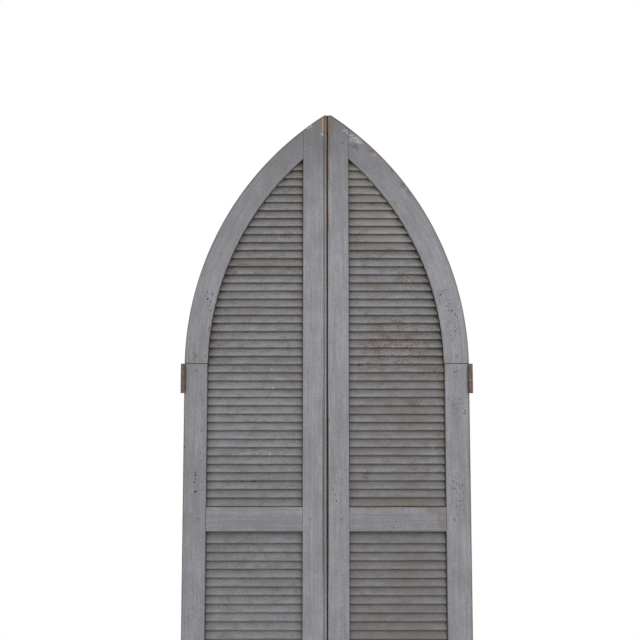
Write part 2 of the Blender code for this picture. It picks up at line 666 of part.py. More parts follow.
def make_screw(leaf, parent, name, y, height):
    shape = bmesh.new()
    base = leaf.at(HALF_WIDTH, y, height)
    add_turned(shape, screw_profile(), base, (-leaf.side, 0, 0), SMALL_SEGMENTS)
    screw = make_piece(name, shape, RUSTY_IRON, parent, base, rounded=True)
    slot = bmesh.new()
    slot_outs = (HALF_WIDTH - SCREW_SLOT_DEPTH, HALF_WIDTH + OVERLAP)
    slot_depths = (y - SCREW_HEAD_DIAMETER, y + SCREW_HEAD_DIAMETER)
    slot_heights = (height - SCREW_SLOT_WIDTH / 2, height + SCREW_SLOT_WIDTH / 2)
    add_box(slot, leaf, slot_outs, slot_depths, slot_heights)
    combine(screw, "DIFFERENCE", "slot", slot)


def make_leaf(leaf, jamb):
    parent = make_axis(f"{leaf.name}_leaf", leaf.at(AXIS_OUT, AXIS_Y, 0))
    make_hinge_stile(leaf, parent)
    make_arched_stile(leaf, parent)
    make_meeting_stile(leaf, parent)
    make_rail(leaf, parent, "mid_rail", MID_RAIL_BOTTOM, MID_RAIL_TOP)
    make_rail(leaf, parent, "bottom_rail", 0.0, BOTTOM_RAIL_WIDTH)
    make_loose_tenon(leaf, parent)
    make_pegs(leaf, parent)
    make_louvers(leaf, parent, "upper_louvers", MID_RAIL_TOP, LOUVER_TOP)
    lower_top = MID_RAIL_BOTTOM - OVERLAP - LOUVER_CLEARANCE
    make_louvers(leaf, parent, "lower_louvers", BOTTOM_RAIL_WIDTH, lower_top)
    for label, top in hinge_tops().items():
        make_hinge(leaf, parent, jamb, label, top)


def main():
    jamb = make_axis("jamb", Vector((0, 0, 0)))
    for leaf in LEAVES:
        make_leaf(leaf, jamb)


main()
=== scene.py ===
"""Looks of the pair of arched louvered doors, laid out as a Blender add-on and run as a script.

Metres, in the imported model's own frame: the front faces -Y and the leaves meet close to x = 0.
Within a leaf, "out" is the distance from the middle of the pair towards the hinges.
"""

import math
import random
from functools import partial

import bmesh
import bpy
from bpy.props import FloatProperty, FloatVectorProperty, IntProperty, PointerProperty
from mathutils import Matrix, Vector


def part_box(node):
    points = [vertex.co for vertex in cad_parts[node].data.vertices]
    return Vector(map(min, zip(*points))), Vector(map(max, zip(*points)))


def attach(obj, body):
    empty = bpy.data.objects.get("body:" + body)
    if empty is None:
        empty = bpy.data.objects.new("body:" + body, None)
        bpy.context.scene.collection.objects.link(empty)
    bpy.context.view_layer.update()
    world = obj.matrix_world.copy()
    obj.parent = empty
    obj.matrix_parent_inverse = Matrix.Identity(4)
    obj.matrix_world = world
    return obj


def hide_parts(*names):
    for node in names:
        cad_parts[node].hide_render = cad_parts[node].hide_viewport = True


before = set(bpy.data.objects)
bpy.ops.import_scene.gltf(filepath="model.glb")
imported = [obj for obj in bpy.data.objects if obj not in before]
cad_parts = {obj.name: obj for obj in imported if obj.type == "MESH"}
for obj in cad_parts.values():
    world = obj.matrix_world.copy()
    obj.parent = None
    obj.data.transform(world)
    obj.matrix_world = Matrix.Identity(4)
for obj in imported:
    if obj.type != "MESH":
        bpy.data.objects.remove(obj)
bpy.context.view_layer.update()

bl_info = {
    "name": "Arched louvered doors",
    "version": (1, 0, 0),
    "blender": (4, 5, 0),
    "location": "3D View > Sidebar > Doors",
    "description": "Models and paints a pair of arched louvered doors around their packed frame",
    "category": "Object",
}

MM = 0.001
# Closer than this, two places are one
DOT = 0.0001
# Play between pieces that fit together
FIT = 0.0003
# How far a cutter or a hidden end reaches past what it has to reach
BURIED = 0.002

# Depths that all members share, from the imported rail
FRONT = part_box("left_mid_rail")[0].y
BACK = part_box("left_mid_rail")[1].y
MIDDLE = (FRONT + BACK) / 2


def linear(code):
    """Linear colour of an sRGB hex value."""
    parts = [int(code[at : at + 2], 16) / 255 for at in (1, 3, 5)]
    return tuple(v / 12.92 if v <= 0.04045 else ((v + 0.055) / 1.055) ** 2.4 for v in parts)


def length(name, description, default):
    kind = {"min": 0.0, "subtype": "DISTANCE", "unit": "LENGTH"}
    return FloatProperty(name=name, description=description, default=default, **kind)


def colour(name, description, code):
    kind = {"size": 3, "min": 0.0, "max": 1.0, "subtype": "COLOR"}
    return FloatVectorProperty(name=name, description=description, default=linear(code), **kind)


class DoorSizes(bpy.types.PropertyGroup):
    """Sizes of the dressed doors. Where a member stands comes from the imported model."""

    spring_height: length("Springing height", "Height at which the arch starts to curve", 1.494)
    left_arch_radius: length("Left arch radius", "Radius of the left arch's outer edge", 0.945)
    right_arch_radius: length("Right arch radius", "Radius of the right arch's outer edge", 0.953)
    left_arched_width: length("Left arched width", "Width of the left curved member", 0.0705)
    right_arched_width: length("Right arched width", "Width of the right curved member", 0.0765)
    worn_edge: length("Worn edge", "Rounding of the edges that hands and weather reach", 0.0022)
    open_joint: length("Open joint", "Rounding of the edges at a joint that has opened", 0.0011)
    tight_joint: length("Tight joint", "Rounding of the edges at a joint that has stayed tight", 0.0006)
    crisp_edge: length("Crisp edge", "Rounding of the edges that the slats and joints guard", 0.0008)
    bead_width: length("Bead width", "Width of the bead on the left leaf's meeting edge", 0.0073)
    quirk_width: length("Quirk width", "Width of the groove beside the bead", 0.0037)
    quirk_depth: length("Quirk depth", "Depth of the groove beside the bead", 0.0045)
    arris_width: length("Arris width", "Width of the step cut in the right leaf's meeting edge", 0.0030)
    arris_depth: length("Arris depth", "Depth of the step cut in the right leaf's meeting edge", 0.0055)
    meeting_lip: length("Meeting lip", "How far paint has built up in the slit between the leaves", 0.0004)
    nose_depth: length("Nose depth", "How deep the meeting edges stay square before they are eased", 0.007)
    back_ease: length("Back ease", "How far the meeting edges draw back behind that", 0.0024)
    slat_pitch: length("Slat pitch", "Height from one slat to the next", 0.0254)
    slat_width: length("Slat width", "Width of a slat along its slope", 0.036)
    slat_thickness: length("Slat thickness", "Thickness of a slat", 0.008)
    slat_recess: length("Slat recess", "How far the slats' noses lie behind the frame's face", 0.005)
    slat_drop: length("Slat drop", "How far the rounded noses hang lower than square ones would", 0.0018)
    sill_drop: length("Sill drop", "How much further the lowest slat hangs, down to its rail", 0.0022)
    slat_wave: length("Slat wave", "How far old slats have moved out of true", 0.0017)
    slat_tilt: FloatProperty(
        name="Slat tilt", description="Slope of the slats", default=math.radians(57), subtype="ANGLE"
    )
    slat_seed: IntProperty(name="Slat seed", description="Seed of the slats' unevenness", default=7)
    peg_proud: length("Peg proud", "How far the peg ends stand out of the frame", 0.0005)
    peg_round: length("Peg rounding", "Rounding of the peg ends", 0.0016)


class HingeSizes(bpy.types.PropertyGroup):
    """Sizes of the lift-off hinges."""

    plate_thickness: length("Plate thickness", "Thickness of a hinge plate", 0.003)
    knuckle_radius: length("Knuckle radius", "Outside radius of a knuckle", 0.0065)
    knuckle_play: length("Knuckle play", "Gap between a plate and the other half's knuckle", 0.0004)
    bore_radius: length("Bore radius", "Radius of the hole for the pin", 0.0039)
    weld: length("Weld", "How far a plate runs into its knuckle", 0.001)
    hole_radius: length("Hole radius", "Radius of a screw hole", 0.0024)
    head_radius: length("Countersink radius", "Radius of a screw hole at the face", 0.0045)
    screw_inset: length("Screw inset", "Distance of the end screws from the plate's ends", 0.015)
    screw_stagger: length("Screw stagger", "How far the screws stand off the plate's middle line", 0.004)
    edge: length("Edge", "Rounding of the iron's edges", 0.0005)
    pin_round: length("Pin rounding", "Rounding of a pin's top", 0.0015)


class DoorColours(bpy.types.PropertyGroup):
    """Colours of the old paint, of what shows through it, and of the shade painted on it."""

    paint: colour("Paint", "Blue-grey paint of the frame, where it is dull", "#7e7e83")
    paint_pale: colour("Pale paint", "The same paint where it has chalked", "#9b9ba1")
    film: colour("Film", "Warm film of dirt on the paint", "#7d7873")
    # Grey dirt near the top and on the low slats, which also paints the shade where the light falls off at
    # the top and bottom
    grey_dirt_and_shade: colour("Grey dirt", "Dirt that rain has left near the frame's top and on the low slats", "#5c5b5e")
    slat_face: colour("Slat face", "Paint on the slats, dulled by dust", "#88898d")
    # Paler than the slat face: rubbed paint and a painted highlight along the noses
    slat_nose: colour("Slat nose", "Rubbed paint on the slats' front edges", "#8d8e93")
    # Brown dirt, which under each slat and at its ends also paints the shade there
    slat_dirt: colour("Slat dirt", "Brown dirt under each slat and at its ends", "#695f52")
    bare_wood: colour("Bare wood", "Weathered wood where paint is gone", "#7f6047")
    scratch: colour("Scratch", "Scratches through the slats' paint", "#6d5347")
    fresh_wood: colour("Fresh wood", "Wood bared not long ago", "#b38a5e")
    primer: colour("Primer", "Old white coat under the paint", "#cfccc9")
    pale_wear: colour("Pale wear", "Paint worn thin over wood", "#a29a92")
    lichen: colour("Lichen", "Growth near the top", "#77765c")
    # Near black: holes and cracks, and painted shade in the corners at the slats' ends
    pit: colour("Pit", "Nail holes, worm holes and open cracks", "#2a2523")
    # Near black: painted shade, with soot, in the slit between the leaves, beside the right leaf's step and
    # in the holes
    gap: colour("Gap", "Soot in the slit between the leaves", "#161312")
    ledge: colour("Ledge dirt", "Brown dirt on ledges and in open joints", "#4a4039")
    rust: colour("Rust", "Brown rust on the hinges", "#7b675e")
    rust_dark: colour("Dark rust", "Scale in the rust's hollows", "#483a34")
    rust_bright: colour("Bright rust", "Fresh rust", "#9c8170")
    floor: colour("Floor", "Studio floor", "#e9e8e6")
    floor_grey: colour("Grey floor", "Cloudy patches of the studio floor", "#e7e7e7")


GROUPS = {"door_sizes": DoorSizes, "hinge_sizes": HingeSizes, "door_colours": DoorColours}


class Leaf:
    """Where one leaf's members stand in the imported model, as distances out from the middle."""

    def __init__(self, name, side):
        self.name, self.side, self.body = name, side, f"{name}_leaf"
        self.hinge_inner, self.outer = self.outs("hinge_stile")
        self.meeting_edge, self.meeting_inner = self.outs("meeting_stile")
        self.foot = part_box(f"{name}_arched_stile")[0].z
        self.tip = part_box(f"{name}_meeting_stile")[1].z

    def outs(self, label):
        low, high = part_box(f"{self.name}_{label}")
        return sorted((self.side * low.x, self.side * high.x))

    def at(self, out, y, z):
        return Vector((self.side * out, y, z))

    def arch(self, sizes):
        """Outer radius, inner radius, and how far past the middle the arch's centre lies."""
        radius = getattr(sizes, f"{self.name}_arch_radius")
        return radius, radius - getattr(sizes, f"{self.name}_arched_width"), radius - self.outer

    def arch_out(self, sizes, height, radius):
        rise = max(height - sizes.spring_height, 0.0)
        return math.sqrt(radius**2 - rise**2) - self.arch(sizes)[2]


LEAVES = (Leaf("left", -1), Leaf("right", 1))


# Modelling by operators


def start_fresh():
    """Back to object mode with nothing selected, so that an operator acts on the new piece alone."""
    if bpy.context.mode != "OBJECT":
        bpy.ops.object.mode_set(mode="OBJECT")
    bpy.ops.object.select_all(action="DESELECT")


def take(piece, mode="OBJECT"):
    start_fresh()
    piece.select_set(True)
    bpy.context.view_layer.objects.active = piece
    bpy.ops.object.mode_set(mode=mode)


def settle(name, *finishes):
    """Names the primitive just added, gives it its finishes and puts its place into its mesh."""
    piece = bpy.context.object
    piece.name = piece.data.name = name
    bpy.ops.object.transform_apply(location=True, rotation=True, scale=True)
    for finish in finishes:
        piece.data.materials.append(finish)
    return piece


def box_piece(name, corner, other, *finishes):
    start_fresh()
    low = Vector(map(min, corner, other))
    high = Vector(map(max, corner, other))
    bpy.ops.mesh.primitive_cube_add(size=1, location=(low + high) / 2, scale=high - low)
    return settle(name, *finishes)


def drawn_piece(name, outline, push, *finishes):
    """Draws an outline point by point, fills it and pushes the face along a vector."""
    start_fresh()
    bpy.ops.mesh.primitive_plane_add(size=DOT, location=outline[0])
    piece = settle(name, *finishes)
    bpy.ops.object.mode_set(mode="EDIT")
    bpy.ops.mesh.select_mode(type="VERT")
    bpy.ops.mesh.select_all(action="SELECT")
    bpy.ops.mesh.merge(type="CENTER")
    for here, there in zip(outline, outline[1:]):
        bpy.ops.mesh.extrude_vertices_move(TRANSFORM_OT_translate={"value": there - here})
    bpy.ops.mesh.select_all(action="SELECT")
    bpy.ops.mesh.edge_face_add()
    bpy.ops.mesh.extrude_region_move(TRANSFORM_OT_translate={"value": push})
    bpy.ops.mesh.select_all(action="SELECT")
    bpy.ops.mesh.normals_make_consistent(inside=False)
    bpy.ops.object.mode_set(mode="OBJECT")
    return piece


def round_piece(name, radius, start, end, sides, *finishes):
    """A cylinder between two points."""
    start_fresh()
    along = end - start
    turn = Vector((0, 0, 1)).rotation_difference(along).to_euler()
    where = {"location": (start + end) / 2, "rotation": turn}
    bpy.ops.mesh.primitive_cylinder_add(vertices=sides, radius=radius, depth=along.length, **where)
    return settle(name, *finishes)


def choose_edges(piece, test):
    """In edit mode, selects the edges that pass a test."""
    bpy.ops.mesh.select_mode(type="EDGE")
    bpy.ops.mesh.select_all(action="DESELECT")
    mesh = bmesh.from_edit_mesh(piece.data)
    for edge in mesh.edges:
        if test(edge):
            edge.select_set(True)
    bmesh.update_edit_mesh(piece.data)


def ease(piece, test, width, segments=2, slot=-1):
    """Rounds the edges that pass a test; the new faces take the material slot."""
    take(piece, "EDIT")
    choose_edges(piece, test)
    bpy.ops.mesh.bevel(offset=width, segments=segments, affect="EDGES", material=slot)
    bpy.ops.mesh.select_all(action="SELECT")
    bpy.ops.mesh.remove_doubles(threshold=DOT / 5)
    bpy.ops.object.mode_set(mode="OBJECT")


def slice_off(piece, point, normal):
    """Cuts away what lies in front of a plane and closes the cut."""
    take(piece, "EDIT")
    bpy.ops.mesh.select_all(action="SELECT")
    bpy.ops.mesh.bisect(plane_co=point, plane_no=normal, clear_outer=True, use_fill=True)
    bpy.ops.mesh.select_all(action="SELECT")
    bpy.ops.mesh.normals_make_consistent(inside=False)
    bpy.ops.object.mode_set(mode="OBJECT")


def carve(piece, operation, helper):
    """Joins a helper to the piece or cuts it out, and removes the helper."""
    take(piece)
    change = piece.modifiers.new(operation.lower(), "BOOLEAN")
    change.operation, change.solver, change.object = operation, "EXACT", helper
    change.material_mode = "TRANSFER"
    bpy.ops.object.modifier_apply(modifier=change.name)
    bpy.data.objects.remove(helper, do_unlink=True)


def repaint(piece, test, slot):
    """Gives the faces that pass a test another of the piece's finishes."""
    for face in piece.data.polygons:
        if test(face):
            face.material_index = slot


def soften(piece, degrees=40):
    take(piece)
    bpy.ops.object.shade_smooth_by_angle(angle=math.radians(degrees))


def present(piece, body, slot, *nodes):
    """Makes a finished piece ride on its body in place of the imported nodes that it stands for."""
    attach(piece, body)
    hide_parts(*nodes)


def runs_along(axis):
    """A test for edges that run along one axis."""
    others = [0, 1, 2]
    others.remove(axis)

    def test(edge):
        apart = edge.verts[1].co - edge.verts[0].co
        return all(abs(apart[other]) < DOT for other in others)

    return test


def lies_at(axis, *values):
    """A test for edges that lie in a plane across one axis."""

    def test(edge):
        return any(all(abs(vert.co[axis] - value) < DOT for vert in edge.verts) for value in values)

    return test


def both(*tests):
    """A test for edges that pass each of several tests."""
    return lambda edge: all(test(edge) for test in tests)


# Finishes. A map range takes, in order, a value, the range that it comes from and the range that it goes to


def node(tree, kind, inputs=(), out=0, **settings):
    """Adds a shader node with its settings, and links or sets its inputs, which come by name or in order.
    Gives back one of its outputs, or all of them where out is None."""
    made = tree.nodes.new(f"ShaderNode{kind}")
    for field, value in settings.items():
        setattr(made, field, value)
    for socket, value in inputs.items() if isinstance(inputs, dict) else enumerate(inputs):
        if isinstance(value, bpy.types.NodeSocket):
            tree.links.new(value, made.inputs[socket])
        else:
            made.inputs[socket].default_value = value
    return made.outputs if out is None else made.outputs[out]


def blank_finish(name):
    """A new material, node() for its empty tree, and the coordinates that its patterns lie in."""
    material = bpy.data.materials.new(name)
    material.use_nodes = True
    material.node_tree.nodes.clear()
    add = partial(node, material.node_tree)
    return material, add, add("TexCoord", out="Object")


def show(add, first, coats, roughness, height, depth, metallic=0.0):
    """Ends a finish: lays coats of (share, colour) over the first colour, and adds roughness and relief."""
    base = (*first, 1.0)
    for share, shade in coats:
        base = add("Mix", {0: share, 6: base, 7: (*shade, 1.0)}, out=2, data_type="RGBA")
    relief = add("Bump", {"Height": height, "Distance": depth, "Strength": 1.0})
    inputs = {"Base Color": base, "Roughness": roughness, "Normal": relief, "Metallic": metallic}
    add("OutputMaterial", {"Surface": add("BsdfPrincipled", inputs)}, out=None)


def clouds(add, patterns):
    """Cloudy patterns by name: their coordinates, width, depth and height in metres, and fine detail."""
    seen = {}
    for label, (place, size, detail) in patterns.items():
        space = add("Mapping", {"Vector": place, "Scale": [1 / side for side in size]})
        cloud = {"Vector": space, "Scale": 1.0, "Detail": detail, "Roughness": 0.6}
        seen[label] = add("TexNoise", cloud)
    return seen


# Marks on one member, most of them left by time and a few that paint shade along grooves, seams and the slit:
# (x, z, half width, half height) in millimetres
FRAME_MARKS = {
    "left_meeting_stile": {
        "fresh_wood": [(-11, 2256, 4.2, 28)],
        "bare_wood": [(0, 2059, 3, 8), (-1, 2150, 2, 30)],
        "primer": [(-54, 2251, 9, 6), (-62, 2245, 7, 4), (-13, 2224, 6, 5)],
        "lichen": [(-57, 2214, 13, 20), (-50, 2228, 9, 11)],
        "pale_wear": [(-4.2, 1200, 1.9, 330)],
        # Dark strips along the quirk and along the bead's flank by the slit: dirt and painted shade
        "ledge": [(-11.8, 1120, 2.2, 330), (-1.4, 1120, 1.6, 330)],
    },
    "left_arched_stile": {
        "bare_wood": [
            (-407.5, 1524, 4.5, 18), (-409, 1550, 2.2, 20), (-361, 1611, 2.5, 13), (-374, 1530, 3, 6),
            (-160, 2138, 6, 4),
        ],
        "pitted": [(-361, 1695, 16, 36)],
    },
    "left_hinge_stile": {
        "bare_wood": [
            (-381.8, 1303, 3.2, 7), (-381, 1344, 2, 4), (-378, 1390, 1.8, 8), (-384, 1236, 2.2, 5),
            (-384.6, 1208, 2.6, 4),
        ],
        "pit": [(-398.6, 1170, 1.2, 9), (-399.3, 1115, 4, 3), (-433, 1250, 3, 2)],
        # Dark strip in the seam beside the upper hinge's knuckle: dirt and painted shade
        "ledge": [(-432.6, 1458, 2.4, 47)],
    },
    "left_mid_rail": {"pale_wear": [(-340, 1066, 20, 3), (-120, 1066, 40, 3)]},
    "right_meeting_stile": {
        "slat_dirt": [(9, 2238, 7, 44), (8, 2140, 6, 60)],
        "bare_wood": [
            (7, 2232, 4.4, 52), (17, 2244, 2.2, 24), (6.5, 1329, 3.4, 12), (6, 2085, 2.6, 40),
            (5, 1960, 2.4, 50),
        ],
        "pale_wear": [(12, 1985, 7, 60), (13, 1790, 6, 75), (16, 1640, 5, 50), (12, 2120, 5, 40)],
        "primer": [(58, 2237, 9, 4), (67, 2229, 5, 6)],
        "pitted": [(34, 1130, 20, 60)],
        # Near-black strips beside the step in the meeting edge: painted shade of the slit
        "gap": [(4.2, 1130, 1.6, 330), (4.0, 2200, 1.4, 40)],
    },
    "right_arched_stile": {
        "slat_dirt": [(84, 2190, 16, 8), (140, 2172, 14, 6), (240, 2066, 14, 16), (258, 2040, 12, 14)],
        "primer": [(77, 2222, 7, 4), (86, 2213, 10, 4), (97, 2205, 7, 8), (105, 2197, 9, 5)],
        "pale_wear": [(90, 2208, 24, 14), (150, 2158, 13, 5), (172, 2139, 10, 4)],
        "bare_wood": [
            (142, 2172, 9, 5), (205, 2108, 6, 7), (241, 2066, 8, 9), (262, 2043, 6, 8), (347, 1600, 2, 10),
        ],
        "pit": [(96, 2180, 4, 2.5)],
        "pitted": [(365, 1698, 26, 32), (392, 1632, 24, 66), (330, 1800, 16, 20)],
    },
    "right_hinge_stile": {
        "bare_wood": [(422, 1353, 5, 4), (371, 1394, 4, 3), (433, 1200, 2.5, 60)],
        "pitted": [(398, 1110, 28, 80), (395, 1480, 18, 22), (400, 1370, 24, 40)],
        # Dark strip in the seam beside the upper hinge's knuckle: dirt and painted shade
        "ledge": [(432.6, 1458, 2.4, 47)],
    },
    "right_mid_rail": {
        "slat_dirt": [(352, 1035, 20, 34), (330, 1062, 30, 10)],
        "pitted": [(200, 1015, 26, 12)],
        "bare_wood": [(130, 1069, 60, 2), (290, 1069, 70, 1.6)],
    },
}
SLAT_MARKS = {
    "left": {
        "fresh_wood": [(-334, 1634, 6, 3.5)],
        "bare_wood": [(-285, 1866, 26, 4), (-262, 1890, 22, 4), (-90, 2140, 12, 8), (-330, 1560, 20, 3)],
        "primer": [(-174.4, 1229.4, 3.2, 4), (-169.8, 1487.8, 3, 3.5), (-166.4, 1429.7, 4, 3)],
        "pit": [(-258, 1146, 7, 2.5), (-222, 1146, 9, 2.5), (-176, 1166, 3, 4)],
        "film": [(-330, 1090, 40, 14), (-190, 1088, 50, 8)],
        "scratch": [(-140, 1900, 40, 12), (-290, 1800, 40, 20)],
        "slat_dirt": [(-95, 2120, 40, 50), (-120, 2040, 50, 30)],
    },
    "right": {
        "fresh_wood": [(180, 1984.7, 10, 3), (346, 1532, 10, 3), (319, 1348, 6, 3), (303, 1340, 12, 2.4)],
        "slat_dirt": [
            (84, 1120, 14, 46), (346, 1260, 16, 60), (350, 1440, 12, 60), (215, 1082, 150, 12),
            (100, 2100, 45, 60), (130, 1985, 70, 45), (140, 1870, 80, 50), (270, 1770, 60, 30),
        ],
        "bare_wood": [(80, 1098, 5, 5), (84, 1131, 7, 3), (352, 1262, 5, 5), (354, 1434, 4, 14)],
        "primer": [(158, 2035.4, 3, 3.5), (323, 1247, 3, 3)],
        "lichen": [(250, 1940, 40, 10)],
        "pit": [(103, 1498.5, 10, 3.5)],
        "film": [(215, 1084, 150, 11)],
        "pale_wear": [(165, 1985, 80, 70), (105, 2090, 50, 50), (200, 1900, 90, 30)],
        "scratch": [
            (215, 1570, 120, 75), (140, 1494, 70, 14), (320, 1480, 40, 20), (280, 1384, 45, 14),
            (115, 1166, 30, 14), (285, 1181, 34, 7), (150, 2000, 60, 12),
        ],
    },
}

# How strongly each kind of mark covers the paint, in the order in which they lie on each other
MARK_COVER = {
    "film": 0.6,
    "slat_dirt": 0.45,
    "pale_wear": 0.5,
    "lichen": 0.8,
    "primer": 0.8,
    "bare_wood": 0.9,
    "scratch": 0.75,
    "fresh_wood": 0.95,
    "ledge": 0.75,
    "pit": 0.8,
    "gap": 0.85,
}
# Caked dirt and the soot that paints shade have soft straight edges. The other marks are torn, and most of
# them are worn thin in places
CAKED = ("ledge", "gap")
UNBROKEN = ("fresh_wood", "pit", "ledge", "gap", "slat_dirt")
SPECKLED = ("primer", "lichen")
# Marks that go through the paint
SUNK = ("bare_wood", "fresh_wood", "pit")
# How far behind the front face the marks go, on the frame and on the sloping slats
FRAME_REACH, SLAT_REACH = 0.012, 0.06

# How much dirt with painted shade, and how much bare wood, show along the outer edge of each leaf
RIM_DIRT_AND_SHADE = {"left": 0.6, "right": 0.85}
RIM_WOOD = {"left": 0.3, "right": 0.85}

# Members whose paint is darker than the others', and how far hands have worn the rubbed edges
DULL = {"left_arched_stile": 0.07, "left_hinge_stile": 0.12, "left_mid_rail": 0.16, "right_mid_rail": 0.16}
RUBBED = 0.6

# Slats grow dirtier with height on the left leaf and cleaner on the right one, which holds more dirt
SLAT_RISE = {"left": 0.08, "right": -0.24}
SLAT_CLEAN = {"left": 2.0, "right": 1.30}


def mark_mask(add, place, marks, reach):
    """Where spots lie on the front. reach is how deep behind the front face they go."""
    total = None
    for x, z, wide, high in marks:
        spot = {"Location": (x * MM, FRONT, z * MM), "Scale": (wide * MM, reach, high * MM)}
        local = add("Mapping", {"Vector": place, **spot}, vector_type="TEXTURE")
        away = add("VectorMath", (local,), out="Value", operation="LENGTH")
        inside = add("MapRange", (away, 1.15, 0.75))
        total = add("Math", (total, inside), operation="MAXIMUM") if total else inside
    return total


def ragged(add, place, amount, grit):
    """Coordinates shaken by noise, so that a spot's edge is torn and not round."""
    shake = add("TexNoise", {"Vector": place, "Scale": 1 / grit, "Detail": 3.0}, out="Color")
    sized = add("VectorMath", (shake, (amount,) * 3, (-amount / 2,) * 3), operation="MULTIPLY_ADD")
    return add("VectorMath", (place, sized), operation="ADD")


def along_grain(add, place, grain, sizes):
    """Coordinates whose z runs along the member: upright, level, or round a leaf's arch."""
    if grain == "upright":
        return place
    if grain == "level":
        return add("Mapping", {"Vector": place, "Rotation": (0, math.pi / 2, 0)})
    radius, _, over = grain.arch(sizes)
    centre = grain.at(-over, 0, sizes.spring_height)
    flat = add("VectorMath", (place, centre), operation="SUBTRACT")
    flat = add("VectorMath", (flat, (grain.side, 0, 1)), operation="MULTIPLY")
    reach = add("VectorMath", (flat,), out="Value", operation="LENGTH")
    parts = add("SeparateXYZ", (flat,), out=None)
    turn = add("Math", (parts["Z"], parts["X"]), operation="ARCTAN2")
    along = add("Math", (turn, radius), operation="MULTIPLY")
    return add("CombineXYZ", (reach, add("SeparateXYZ", (place,), out="Y"), along))


def inside_rim(add, place, leaf, sizes, radius):
    """How far a point lies inside an outline that runs straight up to the springing, then round the arch."""
    parts = add("SeparateXYZ", (place,), out=None)
    out = add("Math", (parts["X"], leaf.side, leaf.arch(sizes)[2]), operation="MULTIPLY_ADD")
    rise = add("Math", (parts["Z"], sizes.spring_height), operation="SUBTRACT")
    rise = add("Math", (rise, 0.0), operation="MAXIMUM")
    reach = add("CombineXYZ", {0: out, 2: rise})
    reach = add("VectorMath", (reach,), out="Value", operation="LENGTH")
    return add("Math", (radius, reach), operation="SUBTRACT")


def worm_holes(add, place):
    """Dents and worm holes 1 to 3 mm across and some 14 mm apart."""
    flat = {"Vector": place, "Rotation": (math.pi / 2, 0, 0), "Scale": (1 / 0.012, 1 / 0.016, 1 / 0.016)}
    flat = {"Vector": add("Mapping", flat), "Scale": 1.0}
    dots = add("TexVoronoi", flat, out=None, voronoi_dimensions="2D")
    small = add("MapRange", (dots["Color"], 0.36, 0.8, 2.6, 1.5))
    hole = add("Math", (dots["Distance"], small), operation="MULTIPLY")
    there = add("Math", (dots["Color"], 0.36), operation="GREATER_THAN")
    return add("Math", (add("MapRange", (hole, 0.26, 0.13)), there), operation="MULTIPLY")


